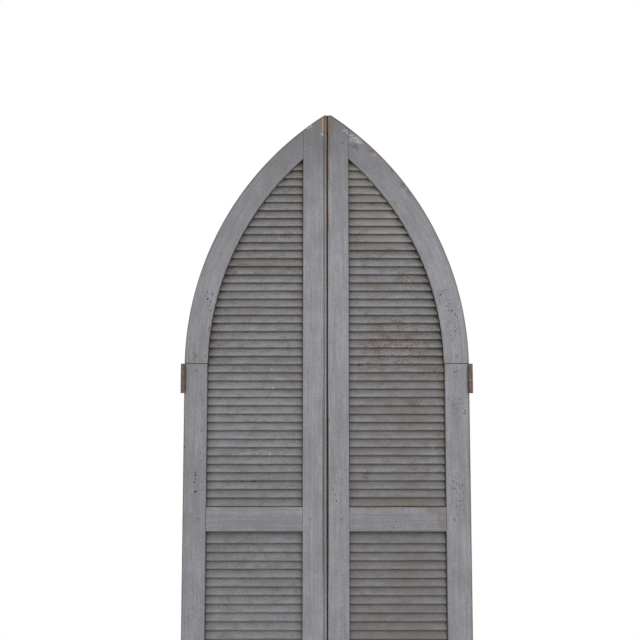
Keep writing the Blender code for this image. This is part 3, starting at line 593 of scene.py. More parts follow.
def aged_paint(context, name, grain, leaf=None, marks=None, wear=0.0, dull=0.0):
    """Oil paint brushed on pine and left outdoors: a chalky, nearly matt skin with fine brush strokes along
    each member, cloudy patches, a thin warm film of dirt, grey near the top that is partly dirt and partly
    painted shade where the light falls off, hairline cracks, small chips down to brown wood, an outer edge
    darkened by dirt and painted shade, and the member's own marks. wear is high on rubbed edges."""
    material, add, place = blank_finish(name)
    sizes, colours = context.scene.door_sizes, context.scene.door_colours
    grained = along_grain(add, place, grain, sizes)
    patterns = {
        "strokes": (grained, (0.003, 0.003, 0.14), 4.0),
        "streaks": (grained, (0.010, 0.010, 0.30), 3.0),
        "patches": (place, (0.06, 0.06, 0.09), 4.0),
        "chalk": (place, (0.0042, 0.0042, 0.0055), 2.0),
        "film": (place, (0.035, 0.035, 0.06), 6.0),
        "cracks": (grained, (0.0015, 0.0015, 0.05), 2.0),
        "chips": (grained, (0.004, 0.004, 0.014), 5.0),
        "worn": (place, (0.004, 0.004, 0.007), 3.0),
        "specks": (place, (0.0034, 0.0034, 0.0034), 3.0),
    }
    seen = clouds(add, patterns)
    tone = seen["patches"]
    for label, weight in {"strokes": 1.0, "streaks": 0.6, "chalk": 0.8}.items():
        tone = add("Math", (seen[label], weight, tone), operation="MULTIPLY_ADD")
    coats = [(add("MapRange", (tone, 1.4 + dull, 2.0 + dull)), colours.paint_pale)]
    # On rubbed edges the film is thicker and takes the darker ledge dirt, which also paints the shade along
    # those edges
    dirty = add("MapRange", (seen["film"], 0.47 - 0.5 * wear, 0.78 - 0.3 * wear, 0.0, 0.6))
    coats.append((dirty, colours.ledge if wear else colours.film))
    # Grey that thickens over the top half metre: dirt, and painted shade where the light falls off towards
    # the top
    parts = add("SeparateXYZ", (place,), out=None)
    rise = add("Math", (seen["film"], 0.12, parts["Z"]), operation="MULTIPLY_ADD")
    rise = add("Math", (add("MapRange", (rise, 1.86, 2.34)), 1.8), operation="POWER")
    coats.append((add("Math", (rise, 0.72), operation="MULTIPLY"), colours.grey_dirt_and_shade))
    coats.append((add("MapRange", (seen["cracks"], 0.62, 0.74, 0.0, 0.35)), colours.ledge))
    masks = {"bare_wood": add("MapRange", (seen["chips"], 0.735 - 0.2 * wear, 0.765 - 0.17 * wear))}
    if leaf:
        # A dark rim a few millimetres wide, partly dirt and partly painted shade along the outline, darker
        # higher up, with paint lost in chips along it
        rim = inside_rim(add, place, leaf, sizes, leaf.arch(sizes)[0])
        dirty = add("Math", (seen["worn"], 0.004, rim), operation="MULTIPLY_ADD")
        most = add("MapRange", (parts["Z"], 1.75, 2.1, 0.4, RIM_DIRT_AND_SHADE[leaf.name]))
        dirty = add("MapRange", (dirty, 0.008, 0.004, 0.0, most))
        bare = add("Math", (seen["chips"], -0.02, rim), operation="MULTIPLY_ADD")
        bare = add("MapRange", (bare, -0.0075, -0.0095, 0.0, RIM_WOOD[leaf.name]))
        # Behind the front corner the edge keeps most of its paint
        deep = add("Math", (seen["worn"], 0.02, parts["Y"]), operation="MULTIPLY_ADD")
        deep = add("MapRange", (deep, FRONT + 0.013, FRONT + 0.021, 1.0, 0.2))
        coats.append((add("Math", (dirty, deep), operation="MULTIPLY"), colours.ledge))
        masks["bare_wood"] = add("Math", (bare, deep, masks["bare_wood"]), operation="MULTIPLY_ADD")
    torn = ragged(add, place, 0.006, 0.0045)
    thin = add("MapRange", (seen["worn"], 0.38, 0.56))
    specks = add("MapRange", (seen["specks"], 0.46, 0.66, 0.16))
    for kind, spots in (marks or {}).items():
        found = mark_mask(add, place if kind in CAKED else torn, spots, FRAME_REACH)
        worn = 1.0 if kind in UNBROKEN else specks if kind in SPECKLED else thin
        if kind == "pitted":
            kind, worn = "pit", worm_holes(add, place)
        found = add("Math", (found, worn), operation="MULTIPLY")
        if kind in masks:
            found = add("Math", (masks[kind], found), operation="MAXIMUM")
        masks[kind] = found
    height = seen["strokes"]
    for kind, cover in MARK_COVER.items():
        if kind in masks:
            part = add("Math", (masks[kind], cover), operation="MULTIPLY")
            coats.append((part, getattr(colours, kind)))
            if kind in SUNK:
                height = add("Math", (height, part), operation="SUBTRACT")
    rough = add("MapRange", (seen["patches"], 0.3, 0.7, 0.55, 0.75))
    show(add, colours.paint, coats, rough, height, 0.0004)
    return material


def slat_paint(context, leaf):
    """The same paint on thin slats, seldom washed: paler at the rubbed nose, where a highlight is painted,
    dulled by brown dirt and painted shade that thicken up the slope under the next slat and turn black in the
    corners at the ends, with grain along the slat, slats of slightly different tone, scratches down to wood,
    and this leaf's own marks."""
    material, add, place = blank_finish(f"{leaf.name}_slat_paint_dusty_pine")
    sizes, colours = context.scene.door_sizes, context.scene.door_colours
    patterns = {
        "grain": (place, (0.07, 0.003, 0.003), 4.0),
        "slat_tone": (place, (0.4, 0.05, 0.9 * sizes.slat_pitch), 1.0),
        "dust": (place, (0.035, 0.02, 0.02), 5.0),
        "areas": (place, (0.2, 0.2, 0.25), 2.0),
        "flecks": (place, (0.005, 0.02, 0.008), 4.0),
        "mottle": (place, (0.007, 0.005, 0.004), 3.0),
    }
    seen = clouds(add, patterns)
    seen["dust"] = add("Math", (seen["mottle"], 0.8, seen["dust"]), operation="MULTIPLY_ADD")
    across = add("Attribute", out="Fac", attribute_name="across")
    # The nose keeps its paler colour, a painted highlight as well as rubbed paint, and the face colour covers
    # the rest
    face = add("Math", (seen["grain"], 0.16, across), operation="MULTIPLY_ADD")
    coats = [(add("MapRange", (face, 0.16, 0.30)), colours.slat_face)]
    # Grain that shows dark and pale, and fine mottling
    for label, start, end, most, shade in (
        ("grain", 0.54, 0.70, 0.40, colours.slat_dirt),
        ("grain", 0.46, 0.30, 0.35, colours.paint_pale),
        ("mottle", 0.52, 0.72, 0.35, colours.slat_dirt),
        ("dust", 0.88, 1.16, 0.55, colours.slat_dirt),
    ):
        coats.append((add("MapRange", (seen[label], start, end, 0.0, most)), shade))
    # Dirt and painted shade up the slope under the next slat, more or less of it with height, and dirt and
    # painted shade near the ends
    parts = add("SeparateXYZ", (place,), out=None)
    up = seen["dust"]
    for source, weight in (
        (seen["slat_tone"], 1.0),
        (seen["areas"], 1.2),
        (across, 0.25),
        (parts["Z"], SLAT_RISE[leaf.name]),
    ):
        up = add("Math", (source, weight, up), operation="MULTIPLY_ADD")
    clean = SLAT_CLEAN[leaf.name]
    up = add("MapRange", (up, clean, clean + 0.9, 0.0, 0.75))
    far = inside_rim(add, place, leaf, sizes, leaf.arch(sizes)[1])
    out = add("Math", (parts["X"], leaf.side), operation="MULTIPLY")
    near = add("Math", (out, leaf.meeting_inner), operation="SUBTRACT")
    straight = add("Math", (leaf.hinge_inner, out), operation="SUBTRACT")
    end = add("Math", (near, straight), operation="MINIMUM")
    end = add("Math", (end, far), operation="MINIMUM")
    # Near the ends the frame shades the slats: the brown there is dirt and painted shade
    soft = add("Math", (seen["dust"], 0.03, end), operation="MULTIPLY_ADD")
    soft = add("MapRange", (soft, 0.054, 0.027, 0.0, 0.6))
    dirty = add("Math", (up, soft), operation="MAXIMUM")
    coats.append((dirty, colours.slat_dirt))
    # Low down the dirt is grey and thin, and the lowest slats of the upper opening take grey, partly dust and
    # partly painted shade where the light falls off towards the bottom
    low = add("MapRange", (parts["Z"], 1.65, 1.35, 0.0, 0.4))
    coats.append((add("Math", (dirty, low), operation="MULTIPLY"), colours.paint))
    coats.append((add("MapRange", (parts["Z"], 1.25, 1.12, 0.0, 0.12)), colours.grey_dirt_and_shade))
    # Painted shade, near black, in the corners where the slats' ends meet the frame
    corner = add("Math", (seen["grain"], 0.004, end), operation="MULTIPLY_ADD")
    coats.append((add("MapRange", (corner, 0.006, 0.003, 0.0, 0.62)), colours.pit))
    torn = ragged(add, place, 0.010, 0.006)
    # Flecks 5 mm wide and 8 mm high in the scratched areas. Elsewhere a mark is worn thin by the mottling
    flecks = add("Math", (seen["dust"], 0.7, seen["flecks"]), operation="MULTIPLY_ADD")
    flecks = add("MapRange", (flecks, 1.14, 1.26))
    thin = add("MapRange", (seen["mottle"], 0.38, 0.56))
    height = seen["grain"]
    for kind, cover in MARK_COVER.items():
        if kind in SLAT_MARKS[leaf.name]:
            found = mark_mask(add, torn, SLAT_MARKS[leaf.name][kind], SLAT_REACH)
            found = add("Math", (found, flecks if kind == "scratch" else thin), operation="MULTIPLY")
            part = add("Math", (found, cover), operation="MULTIPLY")
            coats.append((part, getattr(colours, kind)))
            height = add("Math", (height, part), operation="SUBTRACT")
    rough = add("MapRange", {0: dirty, 3: 0.6, 4: 0.85})
    show(add, colours.slat_nose, coats, rough, height, 0.0004)
    return material


def caked_dirt_and_shade(context, name, shade):
    """Years of dust caked on a ledge, or near-black soot that also paints the shade in the slit and in holes:
    dark, dull and grainy.
    """
    material, add, place = blank_finish(name)
    # Crusts 20 mm wide and 90 mm high
    space = add("Mapping", {"Vector": place, "Scale": (1 / 0.02, 1 / 0.006, 1 / 0.09)})
    crust = add("TexNoise", {"Vector": space, "Scale": 1.0, "Detail": 5.0})
    thin = add("MapRange", (crust, 0.5, 0.72, 0.0, 0.5))
    rough = add("MapRange", {0: crust, 3: 0.85, 4: 1.0})
    show(add, shade, [(thin, context.scene.door_colours.bare_wood)], rough, crust, 0.0006)
    return material


def rusted_iron(context, name):
    """Forged iron left to rust: rough brown scale with dark hollows and a few bright orange blooms."""
    material, add, place = blank_finish(name)
    colours = context.scene.door_colours
    # Scale of 4 mm, blooms of 12 mm
    scale = add("TexNoise", {"Vector": place, "Scale": 1 / 0.004, "Detail": 6.0})
    bloom = add("TexNoise", {"Vector": place, "Scale": 1 / 0.012, "Detail": 4.0})
    brown = add("MapRange", (scale, 0.38, 0.58))
    bright = add("MapRange", (bloom, 0.5, 0.7, 0.0, 0.8))
    rough = add("MapRange", {0: scale, 3: 0.55, 4: 0.85})
    coats = [(brown, colours.rust), (bright, colours.rust_bright)]
    show(add, colours.rust_dark, coats, rough, scale, 0.0006, metallic=0.25)
    return material


def old_pine(context, name):
    """Bare pine inside a joint, never painted: brown growth rings drawn out along the grain."""
    material, add, place = blank_finish(name)
    colours = context.scene.door_colours
    # Rings 5 mm apart, drawn out along the upright
    space = add("Mapping", {"Vector": place, "Scale": (1 / 0.005, 1 / 0.005, 1 / 0.15)})
    rings = add("TexNoise", {"Vector": space, "Scale": 1.0, "Detail": 4.0})
    dark = add("MapRange", (rings, 0.35, 0.65))
    rough = add("MapRange", {0: rings, 3: 0.6, 4: 0.8})
    show(add, colours.bare_wood, [(dark, colours.fresh_wood)], rough, rings, 0.0004)
    return material


def shared(context, maker, name, *values):
    """A finish that several pieces take, made once."""
    return bpy.data.materials.get(name) or maker(context, name, *values)


def iron_finish(context):
    return shared(context, rusted_iron, "rusted_forged_iron")


def ledge_finish(context):
    return shared(context, caked_dirt_and_shade, "brown_dirt_caked", context.scene.door_colours.ledge)


# The finishes that a frame member takes, in their order: paint, rubbed edges that also carry painted shade,
# dirty ledges, and soot that paints the shade in gaps and holes
EDGE_SLOT, LEDGE_SLOT, SOOT_AND_SHADE_SLOT = 1, 2, 3


def member_finishes(context, leaf, label, grain):
    """A frame member's own paint, its rubbed edges with their dirt and painted shade, the dirt on its ledges
    and joints, and the soot that paints shade in its gaps and holes.
    """
    name = f"{leaf.name}_{label}"
    marks, dull = FRAME_MARKS.get(name), DULL.get(name, 0.0)
    paint = aged_paint(context, f"{name}_aged_oil_paint", grain, leaf, marks, dull=dull)
    rubbed = aged_paint(context, f"{name}_rubbed_oil_paint", grain, leaf, marks, wear=RUBBED)
    soot = shared(context, caked_dirt_and_shade, "black_soot_caked", context.scene.door_colours.gap)
    return paint, rubbed, ledge_finish(context), soot


# The pieces

# Nail and worm holes in the front of one member: (x, z, radius) in millimetres
HOLES = {
    "left_arched_stile": [
        (-369, 1726, 1.9), (-353, 1720, 2.1), (-369, 1704, 2.4), (-359, 1695, 2.1), (-365, 1682, 1.6),
        (-359, 1667, 1.7),
    ],
    "left_hinge_stile": [
        (-399, 1175, 1.4), (-399, 1165, 2.0), (-399, 1154, 1.7), (-402, 1145, 2.2), (-398, 1118, 2.3),
    ],
    "right_meeting_stile": [(32, 1175, 1.5), (26, 1107, 1.7), (29, 1089, 1.8)],
    "right_arched_stile": [
        (367, 1732, 1.5), (358, 1726, 1.5), (351, 1717, 2.3), (379, 1689, 1.8), (375, 1667, 1.8),
        (385, 1667, 2.0), (397, 1655, 1.6), (378, 1630, 1.5), (372, 1617, 1.4), (403, 1611, 1.5),
        (396, 1602, 1.6), (387, 1577, 1.7), (383, 1534, 1.4), (90, 2187, 2.0), (84, 2183, 1.7),
    ],
    "right_hinge_stile": [
        (392, 1479, 2.0), (390, 1378, 1.6), (424, 1360, 1.7), (384, 1148, 2.0), (402, 1136, 1.7),
        (412, 1136, 1.7), (384, 1127, 1.7), (405, 1127, 1.6), (393, 1113, 1.5), (402, 1104, 1.5),
        (402, 1089, 1.7), (414, 1062, 1.5),
    ],
}
HOLE_DEPTH = 0.005
HOLE_SIDES = 10


def finish_member(piece, leaf, name):
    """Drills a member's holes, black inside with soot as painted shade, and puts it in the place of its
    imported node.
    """
    for x, z, radius in HOLES.get(name, ()):
        start, end = (Vector((x * MM, y, z * MM)) for y in (FRONT - BURIED, FRONT + HOLE_DEPTH))
        soot = piece.data.materials[SOOT_AND_SHADE_SLOT]
        carve(piece, "DIFFERENCE", round_piece("hole", radius * MM, start, end, HOLE_SIDES, soot))
    soften(piece)
    present(piece, leaf.body, "frame_paint", name)


class DOORS_OT_hinge_stiles(bpy.types.Operator):
    """Straight uprights on the hinge sides, with the beds that the hinge plates are let into"""

    bl_idname = "doors.hinge_stiles"
    bl_label = "Hinge stiles"

    def execute(self, context):
        sizes = context.scene.door_sizes
        for leaf in LEAVES:
            name = f"{leaf.name}_hinge_stile"
            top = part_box(name)[1].z
            near, far = leaf.at(leaf.hinge_inner, FRONT, 0), leaf.at(leaf.outer, BACK, top)
            finishes = member_finishes(context, leaf, "hinge_stile", "upright")
            stile = box_piece(f"{name}_dressed", near, far, *finishes)
            outer, guarded = lies_at(0, leaf.side * leaf.outer), lies_at(0, leaf.side * leaf.hinge_inner)
            ease(stile, both(runs_along(2), outer), sizes.worn_edge, slot=EDGE_SLOT)
            ease(stile, both(runs_along(2), guarded), sizes.crisp_edge)
            ease(stile, lies_at(2, top), sizes.open_joint, slot=LEDGE_SLOT)
            ease(stile, lies_at(2, 0), sizes.worn_edge, slot=LEDGE_SLOT)
            for label in ("upper", "lower"):
                low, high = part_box(f"{leaf.name}_{label}_hinge_door_half")
                bed_in = leaf.outer - context.scene.hinge_sizes.plate_thickness - FIT
                bed_top = high.z + (BURIED if label == "upper" else FIT)
                corner = leaf.at(bed_in, FRONT - BURIED, low.z - FIT)
                other = leaf.at(leaf.outer + BURIED, high.y + FIT, bed_top)
                carve(stile, "DIFFERENCE", box_piece("bed", corner, other, finishes[LEDGE_SLOT]))
            finish_member(stile, leaf, name)
        return {"FINISHED"}


ARC_STEPS = 48
ARC_SWEEP = math.radians(56)


class DOORS_OT_arched_stiles(bpy.types.Operator):
    """Curved members from the springing up to the meeting stiles"""

    bl_idname = "doors.arched_stiles"
    bl_label = "Arched stiles"

    def execute(self, context):
        sizes = context.scene.door_sizes
        spring = sizes.spring_height
        for leaf in LEAVES:
            name = f"{leaf.name}_arched_stile"
            radius, inner, over = leaf.arch(sizes)
            head = leaf.meeting_inner + FIT
            start_fresh()
            place = leaf.at(leaf.outer - (radius - inner) / 2, MIDDLE, spring)
            bpy.ops.mesh.primitive_plane_add(size=1, location=place)
            bpy.ops.transform.resize(value=(radius - inner, BACK - FRONT, 1))
            stile = settle(f"{name}_dressed", *member_finishes(context, leaf, "arched_stile", leaf))
            take(stile, "EDIT")
            bpy.ops.mesh.select_all(action="SELECT")
            centre, axis = leaf.at(-over, MIDDLE, spring), (0, leaf.side, 0)
            bpy.ops.mesh.spin(steps=ARC_STEPS, angle=ARC_SWEEP, center=centre, axis=axis)
            bpy.ops.mesh.select_all(action="SELECT")
            bpy.ops.mesh.remove_doubles(threshold=DOT)
            bpy.ops.object.mode_set(mode="OBJECT")
            slice_off(stile, (0, 0, leaf.foot), (0, 0, -1))
            slice_off(stile, leaf.at(head, 0, 0), (-leaf.side, 0, 0))

            def follows_arch(edge, wanted):
                reach = [math.hypot(leaf.side * v.co.x + over, v.co.z - spring) for v in edge.verts]
                same_depth = abs(edge.verts[0].co.y - edge.verts[1].co.y) < DOT
                return same_depth and all(abs(value - wanted) < 5 * DOT for value in reach)

            ease(stile, lambda edge: follows_arch(edge, radius), sizes.worn_edge, slot=EDGE_SLOT)
            ease(stile, lambda edge: follows_arch(edge, inner), sizes.crisp_edge)
            ease(stile, lies_at(2, leaf.foot), sizes.open_joint, slot=LEDGE_SLOT)
            ease(stile, lies_at(0, leaf.side * head), sizes.tight_joint, slot=LEDGE_SLOT)
            finish_member(stile, leaf, name)
        return {"FINISHED"}


CROWN_CUTS = 4
BEAD_STEPS = 12
# How much of the bead's flank in the slit takes dark ledge dirt, painted shade beside the slit
BEAD_FLANK = 0.0015
# The meeting edges are worn less than the outer ones
MEETING_WEAR = 0.7


class DOORS_OT_meeting_stiles(bpy.types.Operator):
    """Uprights that meet in the middle: a bead and groove on the left one, a step on the right one"""

    bl_idname = "doors.meeting_stiles"
    bl_label = "Meeting stiles"

    def section(self, sizes, leaf):
        """(out, y) outline, from the inner front corner round the meeting edge to the back."""
        edge, inner = leaf.meeting_edge, leaf.meeting_inner
        points = [(inner, FRONT)]
        if leaf.side < 0:
            radius = sizes.bead_width / 2
            quirk = edge + sizes.bead_width + sizes.quirk_width
            floor = FRONT + sizes.quirk_depth
            points += [(quirk, FRONT), (quirk, floor), (edge + sizes.bead_width, floor)]
            for step in range(BEAD_STEPS + 1):
                angle = math.pi * step / BEAD_STEPS
                over = edge + radius + radius * math.cos(angle)
                points += [(over, FRONT + radius - radius * math.sin(angle))]
        else:
            step_out, step_in = edge + sizes.arris_width, FRONT + sizes.arris_depth
            edge -= sizes.meeting_lip
            points += [(step_out, FRONT), (step_out, step_in), (edge, step_in)]
        return points + [(edge, FRONT + sizes.nose_depth), (edge + sizes.back_ease, BACK), (inner, BACK)]

    def execute(self, context):
        sizes = context.scene.door_sizes
        for leaf in LEAVES:
            name = f"{leaf.name}_meeting_stile"
            radius, _, over = leaf.arch(sizes)
            outline = [leaf.at(out, y, 0) for out, y in self.section(sizes, leaf)]
            finishes = member_finishes(context, leaf, "meeting_stile", "upright")
            stile = drawn_piece(f"{name}_dressed", outline, Vector((0, 0, leaf.tip)), *finishes)
            tip_out = leaf.arch_out(sizes, leaf.tip, radius)
            for step in range(CROWN_CUTS):
                middle = tip_out + (leaf.meeting_inner - tip_out) * (step + 0.5) / CROWN_CUTS
                rise = math.sqrt(radius**2 - (middle + over) ** 2)
                point = leaf.at(middle, 0, sizes.spring_height + rise)
                slice_off(stile, point, leaf.at(middle + over, 0, rise).normalized())

            def crown(edge):
                low = (leaf.foot + leaf.tip) / 2
                across = abs(edge.verts[0].co.x - edge.verts[1].co.x) > DOT
                return across and all(v.co.z > low for v in edge.verts)

            wear = sizes.worn_edge * MEETING_WEAR
            ease(stile, both(crown, lies_at(1, FRONT, BACK)), wear, slot=EDGE_SLOT)
            corner, gap_end = leaf.meeting_edge + sizes.bead_width + sizes.quirk_width, leaf.meeting_edge
            if leaf.side > 0:
                corner = gap_end = leaf.meeting_edge + sizes.arris_width
            handled, guarded = lies_at(0, leaf.side * corner), lies_at(0, leaf.side * leaf.meeting_inner)
            ease(stile, both(handled, lies_at(1, FRONT)), wear)
            ease(stile, both(runs_along(2), guarded), sizes.crisp_edge)

            def in_gap(face):
                out, depth = leaf.side * face.center.x, face.center.y - FRONT
                open_face = leaf.side < 0 and depth <= sizes.quirk_depth
                return out < gap_end + DOT and 2 * DOT < depth and not open_face

            def bead_flank(face):
                out, depth = leaf.side * face.center.x, face.center.y - FRONT
                return out < leaf.meeting_edge + BEAD_FLANK and 2 * DOT < depth < sizes.quirk_depth

            # Faces in the slit take near-black soot: painted shade where the leaves meet
            repaint(stile, in_gap, SOOT_AND_SHADE_SLOT)
            # The bead's flank in the slit takes dark ledge dirt: painted shade
            if leaf.side < 0:
                repaint(stile, bead_flank, LEDGE_SLOT)
            finish_member(stile, leaf, name)
        return {"FINISHED"}


# Dirt lies on the faces whose upward share is more than this
FACES_UP = 0.9


class DOORS_OT_rails(bpy.types.Operator):
    """Level members between the stiles: a mid rail and a bottom rail in each leaf"""

    bl_idname = "doors.rails"
    bl_label = "Rails"

    def execute(self, context):
        sizes = context.scene.door_sizes
        for leaf in LEAVES:
            for label in ("mid_rail", "bottom_rail"):
                name = f"{leaf.name}_{label}"
                low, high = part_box(name)
                start, end = leaf.meeting_inner + FIT, leaf.hinge_inner - FIT
                near, far = leaf.at(start, FRONT, low.z), leaf.at(end, BACK, high.z)
                finishes = member_finishes(context, leaf, label, "level")
                rail = box_piece(f"{name}_dressed", near, far, *finishes)
                ease(rail, runs_along(0), sizes.crisp_edge)
                ease(rail, lies_at(0, leaf.side * start), sizes.tight_joint, slot=LEDGE_SLOT)
                ease(rail, lies_at(0, leaf.side * end), sizes.open_joint, slot=LEDGE_SLOT)
                repaint(rail, lambda face: face.normal.z > FACES_UP, LEDGE_SLOT)
                finish_member(rail, leaf, name)
        return {"FINISHED"}


# How deep the slats' ends are let into the frame
SLAT_END_DEPTH = 0.0095
SLAT_CUTS = 3
# Share of a slat's thickness that rounds each corner of its nose
NOSE_ROUND = 0.49
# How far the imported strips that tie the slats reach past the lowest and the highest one
STRIP_MARGIN = 0.00025
# How far each slat stands out of true
TURN_JITTER = math.radians(0.9)
ROLL_JITTER = math.radians(0.10)
HEIGHT_JITTER = 0.0005
WAVE_LENGTH = 0.05


class DOORS_OT_slats(bpy.types.Operator):
    """Fixed sloping slats with rounded noses, each housed in the frame and a little out of true"""

    bl_idname = "doors.slats"
    bl_label = "Slats"

    def pattern(self, sizes):
        """One slat a metre long, lying flat with its nose at y = 0, to be copied."""
        width = sizes.slat_width + sizes.slat_drop / math.sin(sizes.slat_tilt)
        slat = box_piece("slat_pattern", (0, 0, 0), (1, width, sizes.slat_thickness))
        ease(slat, both(runs_along(0), lies_at(1, 0)), sizes.slat_thickness * NOSE_ROUND, segments=3)
        take(slat, "EDIT")
        choose_edges(slat, runs_along(0))
        bpy.ops.mesh.subdivide(number_cuts=SLAT_CUTS)
        bpy.ops.object.mode_set(mode="OBJECT")
        soften(slat, 50)
        across = slat.data.attributes.new("across", "FLOAT", "POINT")
        across.data.foreach_set("value", [vert.co.y / width for vert in slat.data.vertices])
        return slat

    def nose_heights(self, sizes, bank):
        low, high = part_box(bank)
        rise = sizes.slat_width * math.sin(sizes.slat_tilt)
        rise += sizes.slat_thickness * math.cos(sizes.slat_tilt)
        first, last = low.z + STRIP_MARGIN, high.z - STRIP_MARGIN - rise
        count = round((last - first) / sizes.slat_pitch)
        return [first + (last - first) * step / count for step in range(count + 1)]

    def execute(self, context):
        sizes = context.scene.door_sizes
        chance = random.Random(sizes.slat_seed)
        pattern = self.pattern(sizes)
        wave = bpy.data.textures.new("slat_wave", "CLOUDS")
        wave.noise_scale = WAVE_LENGTH
        nose_y = FRONT + sizes.slat_recess + sizes.slat_thickness * math.sin(sizes.slat_tilt)
        for leaf in LEAVES:
            paint = slat_paint(context, leaf)
            _, inner_radius, over = leaf.arch(sizes)
            for label in ("upper", "lower"):
                bank = f"{leaf.name}_{label}_louvers"
                for number, height in enumerate(self.nose_heights(sizes, bank), 1):
                    slat = pattern.copy()
                    slat.data = pattern.data.copy()
                    slat.name = slat.data.name = f"{leaf.name}_{label}_slat_{number:02d}"
                    context.scene.collection.objects.link(slat)
                    slat.data.materials.append(paint)
                    start = leaf.meeting_inner - SLAT_END_DEPTH
                    end = leaf.hinge_inner + SLAT_END_DEPTH
                    if height > sizes.spring_height - sizes.slat_width:
                        arch_end = leaf.arch_out(sizes, height, inner_radius + SLAT_END_DEPTH)
                        end = min(end, arch_end + BURIED)
                    slat.scale.x = end - start
                    drop = sizes.slat_drop + (sizes.sill_drop if number == 1 else 0.0)
                    lift = height - drop + chance.uniform(-HEIGHT_JITTER, HEIGHT_JITTER)
                    slat.location = (min(leaf.side * start, leaf.side * end), nose_y, lift)
                    turn = sizes.slat_tilt + chance.uniform(-TURN_JITTER, TURN_JITTER)
                    slat.rotation_euler = (turn, chance.uniform(-ROLL_JITTER, ROLL_JITTER), 0)
                    take(slat)
                    bpy.ops.object.transform_apply(location=True, rotation=True, scale=True)
                    moved = slat.modifiers.new("wave", "DISPLACE")
                    moved.texture, moved.texture_coords, moved.direction = wave, "GLOBAL", "Z"
                    moved.strength = sizes.slat_wave
                    bpy.ops.object.modifier_apply(modifier="wave")
                    middle = height + sizes.slat_width * math.sin(sizes.slat_tilt) / 2
                    if middle > sizes.spring_height:
                        out = leaf.arch_out(sizes, middle, inner_radius + SLAT_END_DEPTH)
                        outward = leaf.at(out + over, 0, middle - sizes.spring_height).normalized()
                        slice_off(slat, leaf.at(out, 0, middle), outward)
                    present(slat, leaf.body, "slat_paint", bank)
        bpy.data.objects.remove(pattern, do_unlink=True)
        return {"FINISHED"}


PEG_SIDES = 20
PEGS = ("mid_rail_peg_outer", "mid_rail_peg_inner", "bottom_rail_peg_outer", "bottom_rail_peg_inner")
PEGS += ("springing_peg_upper", "springing_peg_lower", "head_peg")


class DOORS_OT_pegs(bpy.types.Operator):
    """Wooden pegs through the tenons, painted over, their ends a little proud"""

    bl_idname = "doors.pegs"
    bl_label = "Pegs"

    def execute(self, context):
        sizes = context.scene.door_sizes
        finishes = aged_paint(context, "peg_aged_oil_paint", "upright"), ledge_finish(context)
        for leaf in LEAVES:
            for label in PEGS:
                name = f"{leaf.name}_{label}"
                low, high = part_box(name)
                middle = (low + high) / 2
                depths = FRONT - sizes.peg_proud, BACK + sizes.peg_proud
                ends = [Vector((middle.x, y, middle.z)) for y in depths]
                peg = round_piece(f"{name}_dressed", (high.z - low.z) / 2, *ends, PEG_SIDES, *finishes)
                ease(peg, lies_at(1, *depths), sizes.peg_round, segments=3, slot=1)
                finish_member(peg, leaf, name)
        return {"FINISHED"}


IRON_SIDES = 32


